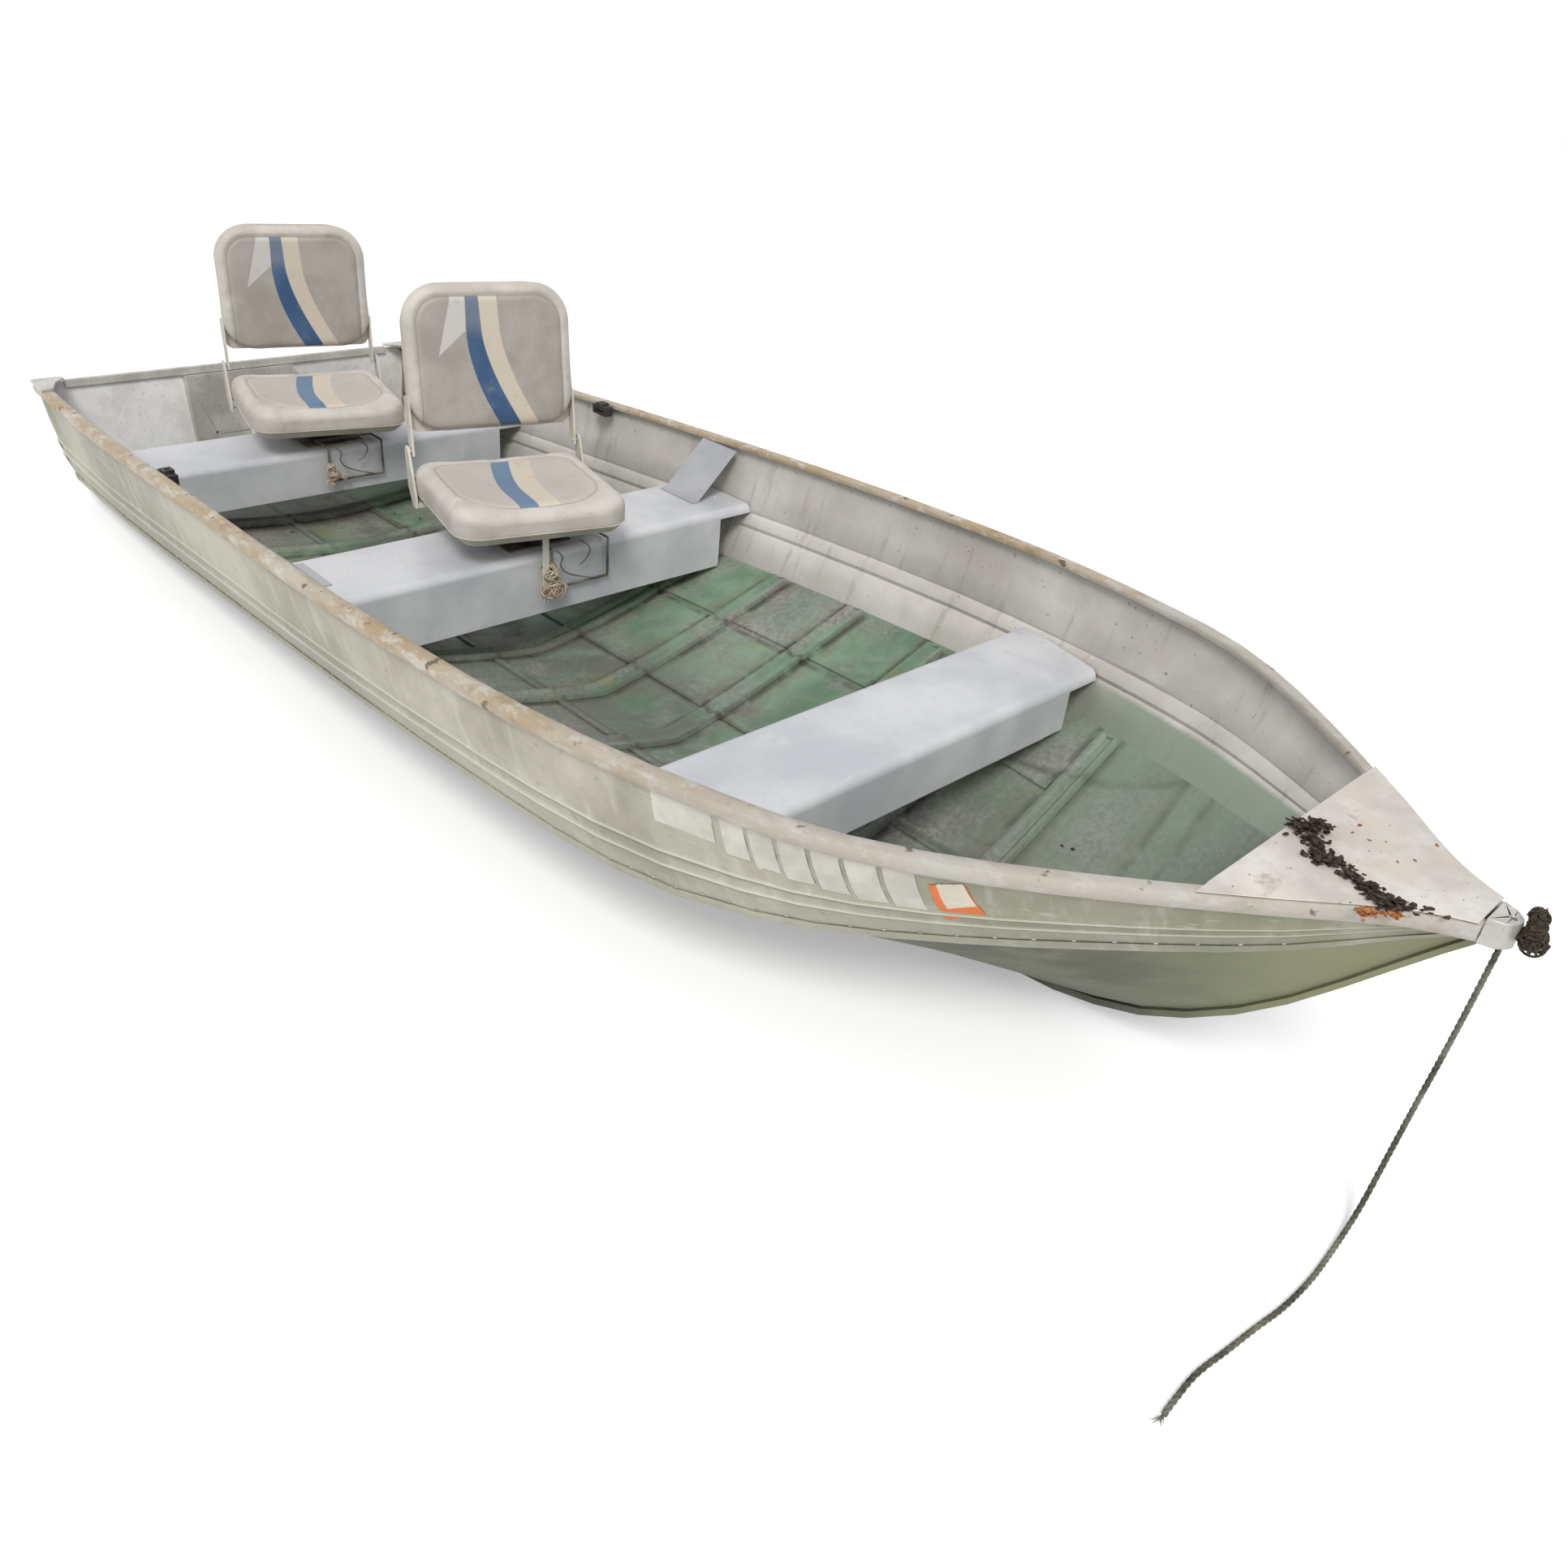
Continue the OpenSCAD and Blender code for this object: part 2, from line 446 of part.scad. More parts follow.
// The painter: a rope tube swept along hand-placed points, and its knot at the bow.
rope_r = 5;
rope_pts = [[2125.5, 0, 598], [2125.5, 0, 540], [2124, 0, 440], [2122, -2, 340], [2119, -4, 240],
  [2117, -8, 150], [2117, -20, 85], [2119, -45, 38], [2122, -90, 13], [2126, -156, 5.3],
  [2129, -231, 5.3], [2125, -311, 5.3], [2115, -377, 5.3], [2105, -449, 5.3], [2095, -519, 5.3],
  [2096, -583, 5.3], [2098, -612, 5.3]];
function cr(a, b, c, d, s) = 0.5 * ((2 * b) + (c - a) * s + (2 * a - 5 * b + 4 * c - d) * s * s
  + (3 * b - a - 3 * c + d) * s * s * s);
function path(P, k) = [for (i = [0:len(P) - 2]) for (j = [0:k - 1])
  cr(P[max(0, i - 1)], P[i], P[i + 1], P[min(len(P) - 1, i + 2)], j / k)];
function unit(v) = v / norm(v);
module rope(P, r, m) {
  n = len(P);
  loft([for (i = [0:n - 1]) let (t = unit(P[min(n - 1, i + 1)] - P[max(0, i - 1)]),
      u = unit(cross(t, [0, 1, 0])), v = cross(t, u))
    [for (j = [0:m - 1]) P[i] + r * (cos(360 * j / m) * u + sin(360 * j / m) * v)]]);
}
module painter() color("dimgray") rope(path(rope_pts, 4), rope_r, 10);
module painter_knot() color("dimgray") {
  hull() {
    translate([2159, 0, 595.6]) sphere(r = 18, $fn = 32);
    translate([2154, 0, 634]) sphere(r = 12, $fn = 32);
  }
}

bottom_port();
bottom_starboard();
bow_bottom_port();
bow_bottom_starboard();
side_port();
side_starboard();
chine_rails();
keel_and_stem();
skid_strakes();
gunwale_port();
gunwale_starboard();
transom();
transom_cap();
stern_corners();
motor_boards();
drain_fitting();
transom_knee();
floor_ribs();
bow_ribs();
floor_stringers();
bench_aft();
bench_mid();
bench_bow();
bench_foam();
bench_brackets();
gunwale_knees();
oarlock_sockets();
bow_deck();
bow_nose();
aft_seat_clamp();
mid_seat_clamp();
aft_swivel();
mid_swivel();
aft_seat_shell();
mid_seat_shell();
aft_cushion();
mid_cushion();
aft_back_shell();
mid_back_shell();
aft_back_pad();
mid_back_pad();
painter_knot();
painter();
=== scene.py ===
# %% [markdown]
# # An old riveted aluminium fishing boat
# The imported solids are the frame. This script gives them their looks: weathered paint
# and bare metal, rivets, blank patches, leaf litter and two vinyl seats.
# Everything is in metres. +X is the bow, +Y is the port side and +Z is up.

# %% Load the frame and note its size
import math
import random

import bmesh
import bpy
from mathutils import Matrix, Vector


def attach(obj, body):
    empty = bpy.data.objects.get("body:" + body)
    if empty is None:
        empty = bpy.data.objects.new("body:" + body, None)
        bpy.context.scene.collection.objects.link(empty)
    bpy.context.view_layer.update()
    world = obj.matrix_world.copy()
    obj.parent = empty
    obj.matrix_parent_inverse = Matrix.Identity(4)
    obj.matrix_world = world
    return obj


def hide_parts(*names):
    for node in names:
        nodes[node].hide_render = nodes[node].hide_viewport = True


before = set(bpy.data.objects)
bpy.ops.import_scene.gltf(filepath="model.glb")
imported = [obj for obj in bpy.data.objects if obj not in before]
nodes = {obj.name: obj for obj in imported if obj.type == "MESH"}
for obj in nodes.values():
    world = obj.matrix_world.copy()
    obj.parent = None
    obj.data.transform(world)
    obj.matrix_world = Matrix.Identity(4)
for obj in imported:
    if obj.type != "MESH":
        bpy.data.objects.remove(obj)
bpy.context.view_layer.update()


print("nodes in the frame:", len(nodes))

# %% [markdown]
# ## Camera
# The photograph looks aft and down from off the starboard bow, 1.6 m above the ground.
# A camera is fixed by its place, the way it looks, its right-hand side and its lens. It
# could be turned by angles, but a matrix built from its own directions is exact and has
# no order of turns to get wrong.

# %% Camera
CAMERA_PLACE = (2.3841, -1.8297, 1.6436)
CAMERA_AHEAD = (-0.58081, 0.62055, -0.52685)
CAMERA_RIGHT = (0.6873, 0.72064, 0.09112)
LENS_MM = 29.28
SENSOR_MM = 36.0
FARTHEST = 100.0


def look_from(place, forward, right):
    data = bpy.data.cameras.new("camera")
    data.lens = LENS_MM
    data.sensor_width = SENSOR_MM
    data.clip_end = FARTHEST
    camera = bpy.data.objects.new("camera", data)
    bpy.context.scene.collection.objects.link(camera)
    ahead = Vector(forward).normalized()
    side = Vector(right).normalized()
    up = side.cross(ahead)
    turn = Matrix((side, up, -ahead)).transposed()
    camera.matrix_world = Matrix.Translation(place) @ turn.to_4x4()
    bpy.context.scene.camera = camera
    return camera


camera = look_from(CAMERA_PLACE, CAMERA_AHEAD, CAMERA_RIGHT)
print("camera at", tuple(round(v, 3) for v in camera.location))

# %% [markdown]
# ## Curves of the hull
# The sheets were bent to a few smooth curves. The same short tables draw the solids,
# so rivets, dirt and patches can be set on the hull at any place along it.

# %% Hull curves, in millimetres from the transom
GUNWALE_Y = [(0, 647), (600, 706), (1400, 747), (2200, 774), (2900, 748), (3400, 649),
             (3600, 554), (3800, 405), (4000, 230), (4150, 92), (4270, 26)]
GUNWALE_Z = [(0, 378), (600, 420), (1400, 470), (2200, 511), (2900, 543), (3600, 575), (4270, 608)]
CHINE_Y = [(0, 585), (600, 618), (1400, 642), (2200, 661), (2700, 655), (3000, 632), (3200, 588),
           (3400, 505), (3600, 392), (3800, 262), (4000, 135), (4150, 52), (4270, 14)]
CHINE_Z = [(0, 72), (600, 100), (1400, 146), (2000, 184), (2600, 220), (3000, 238), (3200, 258),
           (3400, 290), (3600, 338), (3800, 392), (4000, 455), (4150, 532), (4270, 606)]
KEEL_Z = [(0, 0), (3000, 0), (3300, 0), (3450, 4), (3600, 22), (3772, 81), (3914, 177),
          (4032, 295), (4129, 419), (4216, 530), (4270, 592)]
MIDDLE = 2136.5
TRANSOM_H = 378
RAKE = math.radians(10)
RAKE_RUN = 500


def slope(table, i):
    """The slope at a row of a table, from the rows on either side."""
    a, b = max(0, i - 1), min(len(table) - 1, i + 1)
    return (table[b][1] - table[a][1]) / (table[b][0] - table[a][0])


def curve(x, table):
    """A smooth value between the rows of a table."""
    i = 0
    while i < len(table) - 2 and x >= table[i + 1][0]:
        i += 1
    h = table[i + 1][0] - table[i][0]
    s = (x - table[i][0]) / h
    return (table[i][1] * (1 + 2 * s) * (1 - s) ** 2 + slope(table, i) * h * s * (1 - s) ** 2
            + table[i + 1][1] * s * s * (3 - 2 * s) + slope(table, i + 1) * h * s * s * (s - 1))


def lean(x, z):
    """How far forward the raked transom pushes a point of the hull's aft end."""
    return (TRANSOM_H - z) * math.tan(RAKE) * max(0.0, 1 - x / RAKE_RUN)


print("beam from the table:", 2 * curve(2200, GUNWALE_Y), "mm")

# %% [markdown]
# ## Points on the sheets
# A rivet or a patch needs its exact place on a sheet. It could be dropped on to the
# mesh by a ray, but the hull's own formula is quicker and gives the same answer on both
# sides. The side is measured by how far along and how far up, and the floor by how far
# along and how far out from the keel. The sheets were built straight from one station
# to the next, so patches follow that and not the smooth curve.

# %% Side and floor points
FOOT_OUT = 2.6
FOOT_UP = 1.5
HEAD_IN = 10
HEAD_DOWN = 6
FLARE = 1.6
FLOOR_UP = 16


def side_point(x, g, out=0.0):
    """A point of the port side sheet, g from 0 at the chine to 1 at the gunwale."""
    foot = curve(x, CHINE_Y) + FOOT_OUT
    head = curve(x, GUNWALE_Y) - HEAD_IN
    low = curve(x, CHINE_Z) + FOOT_UP
    z = low + g * (curve(x, GUNWALE_Z) - HEAD_DOWN - low)
    y = foot + (head - foot) * (1 - (1 - g) ** FLARE) + out
    return Vector((x + lean(x, z) - MIDDLE, y, z)) / 1000


STATIONS = [0, 150, 300, 600, 900, 1200, 1500, 1800, 2100, 2400, 2700, 2850, 3000, 3150, 3300, 3400,
            3500, 3600, 3690, 3780, 3865, 3945, 4020, 4090, 4150, 4200, 4236]


def sheet_point(x, g, out=0.0):
    """A point of the side sheet as built, which is straight from station to station."""
    last = max(i for i, s in enumerate(STATIONS[:-1]) if s <= x)
    a, b = STATIONS[last], STATIONS[last + 1]
    return side_point(a, g, out).lerp(side_point(b, g, out), (x - a) / (b - a))


def floor_point(x, f, lift=0.0):
    """A point of the bottom sheet, f from 0 at the keel to 1 at the chine."""
    k = max(0, curve(x, KEEL_Z)) + FLOOR_UP
    # The floor is nearly flat by the keel aft and close to a plain V towards the bow.
    power = 2.1 - 0.85 * x / 2000 if x < 2000 else 1.25 - 0.15 * (x - 2000) / 2200
    z = k + (curve(x, CHINE_Z) - k) * abs(f) ** power + lift
    return Vector((x + lean(x, z) - MIDDLE, f * curve(x, CHINE_Y), z)) / 1000


print("half-breadth amidships:", round(side_point(2200, 1).y, 3))

# %% [markdown]
# ## Building a finish
# A finish is a tree of nodes: noises make masks, and masks mix colours. The tree could be
# wired by hand in the editor. Here one small class adds a node by its type, with its
# settings first and then its inputs, so that each finish is a few lines read from top to
# bottom.

# %% A class that builds a finish
class Shade:
    """A material or a world being built: nodes are added by type, with settings and inputs."""

    def __init__(self, name, world=None):
        self.material = world or bpy.data.materials.new(name)
        self.material.use_nodes = True
        self.tree = self.material.node_tree
        self.bsdf = self.tree.nodes.get("Principled BSDF")

    def add(self, kind, settings=None, inputs=None, out=0):
        node = self.tree.nodes.new(kind)
        for key, value in (settings or {}).items():
            setattr(node, key, value)
        for key, value in (inputs or {}).items():
            self.plug(node.inputs[key], value)
        return Socket(self, node.outputs[out])

    def plug(self, socket, value):
        if isinstance(value, Socket):
            self.tree.links.new(value.socket, socket)
        elif isinstance(value, tuple) and len(value) == 3 and socket.type == "RGBA":
            socket.default_value = (*value, 1)
        else:
            socket.default_value = value

    def maths(self, operation, a, b=0.0, clamp=False):
        return self.add("ShaderNodeMath", {"operation": operation, "use_clamp": clamp}, {0: a, 1: b})

    def mix(self, factor, a, b):
        node = self.tree.nodes.new("ShaderNodeMix")
        node.data_type = "RGBA"
        for socket, value in ((node.inputs[0], factor), (node.inputs[6], a), (node.inputs[7], b)):
            self.plug(socket, value)
        return Socket(self, node.outputs[2])

    def place(self):
        return self.add("ShaderNodeTexCoord", out=3)

    def noise(self, scale, detail=4.0, rough=0.55, stretch=(1, 1, 1), shift=(0, 0, 0)):
        at = self.add("ShaderNodeMapping", None,
                      {"Vector": self.place(), "Scale": stretch, "Location": shift})
        return self.add("ShaderNodeTexNoise", None,
                        {"Vector": at, "Scale": scale, "Detail": detail, "Roughness": rough})

    def axis(self, letter):
        return self.add("ShaderNodeSeparateXYZ", None, {0: self.place()}, "XYZ".index(letter))

    def level(self, name):
        """A number stored on the mesh's points."""
        return self.add("ShaderNodeAttribute", {"attribute_name": name}, out=2)

    def flat(self, name):
        """The two measures of a UV map."""
        uv = self.add("ShaderNodeUVMap", {"uv_map": name})
        u = self.add("ShaderNodeSeparateXYZ", None, {0: uv})
        return u, u.other(1)

    def rays(self, *kinds):
        """1 for a ray of any of these kinds, 0 for the rest."""
        path = self.add("ShaderNodeLightPath")
        found = path.other(kinds[0])
        for kind in kinds[1:]:
            found = found.most(path.other(kind))
        return found

    def step(self, value, low, high):
        """0 below low, 1 above high, smooth between."""
        return self.add("ShaderNodeMapRange", {"interpolation_type": "SMOOTHSTEP"},
                        {0: value, 1: low, 2: high, 3: 0.0, 4: 1.0})

    def near(self, value, low, high):
        """1 where the value is within low of zero, 0 beyond high."""
        return 1.0 - self.step(value.size(), low, high)

    def bump(self, height, distance, strength=1.0, under=None):
        inputs = {"Height": height, "Distance": distance, "Strength": strength}
        if under is not None:
            inputs["Normal"] = under
        return self.add("ShaderNodeBump", None, inputs)

    def finish(self, **sockets):
        names = {"colour": "Base Color", "rough": "Roughness", "metal": "Metallic",
                 "normal": "Normal", "alpha": "Alpha", "specular": "Specular IOR Level"}
        for key, value in sockets.items():
            self.plug(self.bsdf.inputs[names[key]], value)
        return self.material


print("finish builder ready")

# %% [markdown]
# ## Maths that reads as maths
# Masks are added, multiplied and compared. Each of those could be a call, but long sums
# of calls are hard to read. This class wraps a node's output and gives it the plain
# operators, so that 1 - mask adds the right node by itself.

# %% A class for sockets
class Socket:
    """A node's output, on which the plain operators work."""

    def __init__(self, shade, socket):
        self.shade = shade
        self.socket = socket

    def __add__(self, other):
        return self.shade.maths("ADD", self, other)

    def __sub__(self, other):
        return self.shade.maths("SUBTRACT", self, other)

    def __rsub__(self, other):
        return self.shade.maths("SUBTRACT", other, self)

    def __mul__(self, other):
        return self.shade.maths("MULTIPLY", self, other)

    def most(self, other):
        return self.shade.maths("MAXIMUM", self, other)

    def least(self, other):
        return self.shade.maths("MINIMUM", self, other)

    def size(self):
        return self.shade.maths("ABSOLUTE", self)

    def other(self, key):
        """Another output of the same node."""
        return Socket(self.shade, self.socket.node.outputs[key])

    __radd__ = __add__
    __rmul__ = __mul__


print("shader helpers ready")

# %% [markdown]
# ## The painter
# A painter is the rope at the bow. This one is about 10 mm thick and old. It hangs
# straight down from the nose casting and then trails along the ground. Three strands
# twisted about one smooth route look like laid rope, and a curve's own round section
# makes each strand without any list of faces.

# %% The rope's route
ROPE_MM = [(2125.5, 0, 598), (2125.5, 0, 540), (2124, 0, 440), (2122, -2, 340), (2119, -4, 240),
           (2117, -8, 150), (2117, -20, 85), (2119, -45, 38), (2122, -90, 13), (2126, -156, 5.3),
           (2129, -231, 5.3), (2125, -311, 5.3), (2115, -377, 5.3), (2105, -449, 5.3),
           (2095, -519, 5.3), (2096, -583, 5.3), (2098, -612, 5.3)]
ROPE = [Vector(p) / 1000 for p in ROPE_MM]


def through(points, steps):
    """A smooth line through the points, as the solid's route is drawn."""
    line = []
    last = len(points) - 1
    for i in range(last):
        a, b, c, d = points[max(0, i - 1)], points[i], points[i + 1], points[min(last, i + 2)]
        for j in range(steps):
            s = j / steps
            line.append(0.5 * (2 * b + (c - a) * s + (2 * a - 5 * b + 4 * c - d) * s * s
                               + (3 * b - a - 3 * c + d) * s ** 3))
    line.append(points[-1].copy())
    return line


def length_of(line):
    return sum((q - p).length for p, q in zip(line, line[1:]))


rope_line = through(ROPE, 4)
rope_length = length_of(rope_line)
print("rope length:", round(rope_length, 3), "m")

# %% [markdown]
# ## Tubes and kept pieces
# A rope, a wire or a twig is a line with a round section. Rings of points could be spun
# and bridged by hand, but a curve object with a bevel does that by itself, and its mesh
# is taken once it is right. Every finished mesh then goes through one short function,
# which links it with its finish and lets it ride on a body.

# %% Tubes from curves
def tubes(name, lines, radius, sides=2):
    """One mesh of round tubes, one along each line of points (with a taper if given)."""
    curve_data = bpy.data.curves.new(name, "CURVE")
    curve_data.dimensions = "3D"
    curve_data.bevel_depth = radius
    curve_data.bevel_resolution = sides
    curve_data.use_fill_caps = True
    for line in lines:
        spline = curve_data.splines.new("POLY")
        spline.points.add(len(line) - 1)
        for point, at in zip(spline.points, line):
            point.co = (at[0], at[1], at[2], 1)
            point.radius = at[3] if len(at) > 3 else 1.0
    holder = bpy.data.objects.new(name + "_curve", curve_data)
    bpy.context.scene.collection.objects.link(holder)
    bpy.context.view_layer.update()
    mesh = bpy.data.meshes.new_from_object(holder.evaluated_get(bpy.context.evaluated_depsgraph_get()))
    bpy.data.objects.remove(holder)
    mesh.name = name
    for polygon in mesh.polygons:
        polygon.use_smooth = True
    return mesh


def keep(name, mesh, material, body="hull"):
    """Links a finished mesh as a piece that rides on a body."""
    if isinstance(mesh, bmesh.types.BMesh):
        filled = bpy.data.meshes.new(name)
        mesh.to_mesh(filled)
        mesh.free()
        mesh = filled
    obj = bpy.data.objects.new(name, mesh)
    bpy.context.scene.collection.objects.link(obj)
    for each in (material if isinstance(material, (list, tuple)) else [material]):
        obj.data.materials.append(each)
    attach(obj, body)
    return obj


print("tube helper ready")

# %% [markdown]
# ## Old rope
# The rope has gone dark and limp, with paler worn stretches. Fine noise gives the dark
# fibres, a broad one gives the wear, and a small bump makes the light break up as it
# does on fuzzy cord. No picture is needed.

# %% Rope finish
def rope_finish():
    m = Shade("old_rope")
    grain = m.noise(160, 3, 0.7)
    patch = m.noise(9, 3, 0.6)
    dark = m.mix(m.step(grain, 0.3, 0.75), (0.042, 0.040, 0.030), (0.155, 0.145, 0.112))
    colour = m.mix(m.step(patch, 0.4, 0.7), dark, (0.225, 0.215, 0.165))
    return m.finish(colour=colour, rough=0.95, normal=m.bump(grain, 0.0012, 0.9), specular=0.2)


old_rope = rope_finish()


print("rope finish:", old_rope.name)

# %% [markdown]
# ## Strands and loose ends
# Laid rope is three strands that wind round each other. A bump could fake them, but
# they show in the outline, so each strand is its own line, turned about the rope's
# middle as it goes. The end is cut and frays into thin hairs, each with a taper.

# %% Strands and frays
def strands(line, offset, turns_per_metre, count=3):
    """Points of each strand as it winds round the line."""
    lines = [[] for _ in range(count)]
    run = 0.0
    for i, at in enumerate(line):
        # The direction here, from the points before and after.
        ahead = (line[min(i + 1, len(line) - 1)] - line[max(i - 1, 0)]).normalized()
        across = ahead.cross(Vector((0.3, 1, 0.1))).normalized()
        other = ahead.cross(across)
        for k in range(count):
            angle = 2 * math.pi * (run * turns_per_metre + k / count)
            lines[k].append(at + (across * math.cos(angle) + other * math.sin(angle)) * offset)
        if i + 1 < len(line):
            run += (line[i + 1] - at).length
    return lines


chance = random.Random(11)


def frays(tip, towards, length, count, spread):
    """Loose ends that fan out from a tip, each with a taper."""
    lines = []
    for _ in range(count):
        stray = Vector([chance.uniform(-1, 1) * spread for _ in range(3)])
        way = (Vector(towards) + stray).normalized()
        bend = Vector([chance.uniform(-1, 1) * 0.35 for _ in range(3)])
        run = length * chance.uniform(0.5, 1.0)
        lines.append([(*(Vector(tip) + way * run * t + bend * run * t * t), 1.0 - 0.6 * t)
                      for t in (0, 0.25, 0.5, 0.75, 1)])
    return lines


print("strand helpers ready")

# %% [markdown]
# ## The painter laid down
# The strands follow the route from the nose casting to the ground. The frayed end is a
# piece of its own, because the cord's length is measured on the rope alone, and its
# hairs are kept from sinking into the ground.

# %% The painter
STRAND_RADIUS = 0.0026
STRAND_OUT = 0.0023
TURNS_PER_METRE = 26
HAIR_RADIUS = 0.0008
HAIR_LOWEST = 0.0012

fine = through(rope_line, 5)
ends = frays(rope_line[-1], (rope_line[-1] - rope_line[-2]).normalized(), 0.020, 14, 0.45)
hairs = [[(p[0], p[1], max(p[2], HAIR_LOWEST), p[3]) for p in line] for line in ends]
keep("painter_fray", tubes("painter_fray", hairs, HAIR_RADIUS, 1), old_rope)
wound = strands(fine, STRAND_OUT, TURNS_PER_METRE)
painter = keep("painter_rope", tubes("painter_rope", wound, STRAND_RADIUS), old_rope)
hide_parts("painter")
print("rope strands:", len(painter.data.polygons), "faces")

# %% [markdown]
# ## Weathered sheet metal
# The hull was once painted. Outside it has chalked to a pale grey-green, with greener
# growth at the bow and the lower edges, dirt runs and long scrapes. A few soft masks in
# the hull's own coordinates do this, so nothing repeats and nothing slides. The two
# pressed beads get a painted highlight along their crests and a painted shadow below them.
# A level stored on the mesh says how far up the side a point is, which lets the painted
# highlight and shadow follow the beads.

# %% Outer side paint
BEADS = (0.285, 0.42)


def outer_paint():
    m = Shade("hull_outer_paint")
    x, z = m.axis("X"), m.axis("Z")
    cloud = m.noise(2.2, 5, 0.62)
    fleck = m.noise(46, 4, 0.7)
    runs = m.noise(11, 4, 0.6, stretch=(3.2, 1.0, 0.35))
    scrape = m.noise(17, 3, 0.6, stretch=(0.12, 1, 5.0))
    base = m.mix(m.step(cloud, 0.35, 0.66), (0.315, 0.295, 0.225), (0.560, 0.535, 0.445))
    base = m.mix(m.step(runs, 0.50, 0.72) * 0.40, base, (0.640, 0.615, 0.530))
    base = m.mix(m.step(fleck, 0.60, 0.72) * 0.45, base, (0.200, 0.175, 0.125))
    bow = m.step(x, 0.7, 2.0)
    stern = 1.0 - m.step(x, -2.1, -1.75)
    low = 1.0 - m.step(z, 0.12, 0.42)
    green = bow.most(stern).most(low * 0.5) * m.step(m.noise(4.5, 4, 0.65), 0.30, 0.62)
    base = m.mix(green * 0.68, base, (0.185, 0.200, 0.110))
    base = m.mix(m.step(scrape, 0.62, 0.70) * 0.3, base, (0.620, 0.610, 0.560))
    g = m.level("g")
    # Each bead gets a painted highlight along its crest and a painted shadow just below it.
    for bead in BEADS:
        crest_highlight = m.near(g - bead - 0.004, 0.004, 0.018)
        base = m.mix(crest_highlight * 0.42, base, (0.700, 0.680, 0.600))
        under = m.near(g - bead + 0.030, 0.004, 0.026)
        base = m.mix(under * 0.50 * m.step(g, 0.01, 0.05), base, (0.150, 0.140, 0.095))
    grime = m.step(m.noise(30, 4, 0.7, stretch=(0.35, 1, 1)), 0.42, 0.70)
    grime = grime * m.near(g - 0.93, 0.0, 0.10)
    base = m.mix(grime * 0.55, base, (0.210, 0.160, 0.100))
    rough = 0.42 + 0.25 * m.step(cloud, 0.3, 0.7)
    dents = m.bump(m.noise(3.0, 2, 0.4), 0.010, 0.55)
    grain = m.bump(fleck, 0.0006, 0.5, dents)
    return m.finish(colour=base, rough=rough, metal=0.18, normal=grain, specular=0.4)


hull_outer = outer_paint()
print("finish:", hull_outer.name)

# %% [markdown]
# ## Paint under the chine
# The bottom is darker and greener than the sides, scraped along its length by years of
# landings. Under the bow it turns pale moss green. The same kinds of mask are used,
# stretched along the hull so that scrapes run fore and aft.

# %% Bottom paint
def lower_paint():
    m = Shade("bottom_outer_paint")
    x = m.axis("X")
    cloud = m.noise(3.1, 5, 0.6)
    scrape = m.noise(21, 3, 0.6, stretch=(0.1, 5.0, 1))
    base = m.mix(m.step(cloud, 0.35, 0.65), (0.085, 0.095, 0.062), (0.180, 0.190, 0.125))
    base = m.mix(m.step(scrape, 0.58, 0.74) * 0.28, base, (0.340, 0.340, 0.270))
    base = m.mix(m.step(x + cloud * 0.25, 1.55, 2.05) * 0.80, base, (0.270, 0.275, 0.155))
    dark = m.step(m.noise(7, 4, 0.6, stretch=(0.3, 1, 1)), 0.40, 0.65) * (1.0 - m.step(x, 1.55, 1.95))
    base = m.mix(dark * 0.6, base, (0.045, 0.050, 0.042))
    grain = m.bump(m.noise(40, 3, 0.6), 0.0006, 0.5, m.bump(m.noise(3, 2, 0.4), 0.010, 0.5))
    return m.finish(colour=base, rough=0.55 + 0.2 * cloud, metal=0.15, normal=grain)


bottom_outer = lower_paint()
print("finish:", bottom_outer.name)

# %% [markdown]
# ## Inside of the sides
# Inside, the side sheets are bare pale metal with a warm film of dust, small dark
# specks and soft dents from years of use. In the fore well the floor's green paint climbs
# up to the lower bead, so one mask follows the stored level there.

# %% Inner side finish
def inner_side():
    m = Shade("hull_inner_sheet")
    z = m.axis("Z")
    cloud = m.noise(2.6, 5, 0.6)
    speck = m.noise(95, 2, 0.5)
    drip = m.noise(9, 4, 0.6, stretch=(3.0, 1, 0.3))
    base = m.mix(m.step(cloud, 0.33, 0.68), (0.510, 0.475, 0.430), (0.690, 0.655, 0.610))
    base = m.mix(m.step(drip, 0.55, 0.72) * 0.45, base, (0.300, 0.265, 0.215))
    base = m.mix(m.step(speck, 0.70, 0.76) * 0.7, base, (0.115, 0.095, 0.070))
    # Darker and greener towards the bottom.
    low_darkening = 1.0 - m.step(z + 0.10 * cloud, 0.20, 0.36)
    base = m.mix(low_darkening * 0.45, base, (0.260, 0.275, 0.225))
    g = m.level("g")
    climb = 1.0 - m.step(g + cloud * 0.04, 0.26, 0.30)
    climb = climb * m.step(m.axis("X") + cloud * 0.4, 1.0, 1.35)
    base = m.mix(climb * 0.85, base, (0.235, 0.300, 0.215))
    grain = m.bump(m.noise(60, 3, 0.6), 0.0005, 0.4, m.bump(m.noise(3.4, 2, 0.4), 0.010, 0.6))
    return m.finish(colour=base, rough=0.40 + 0.2 * cloud, metal=0.22, normal=grain)


inner_sheet = inner_side()
print("finish:", inner_sheet.name)

# %% [markdown]
# ## Floor paint
# The floor is painted green and worn grey in panels between the ribs and the stringers,
# with black dirt along every foot and seam, rust beside the ribs, and silt and moss in
# the low middle. Painted masks would slide if the boat were changed, so the ribs' pitch
# gives the panels: a number is drawn at random for each one.

# %% Floor finish
RIB_PITCH = 0.300
SEAMS_Y = (0.132, 0.417)
SEAM_EDGE = 0.002


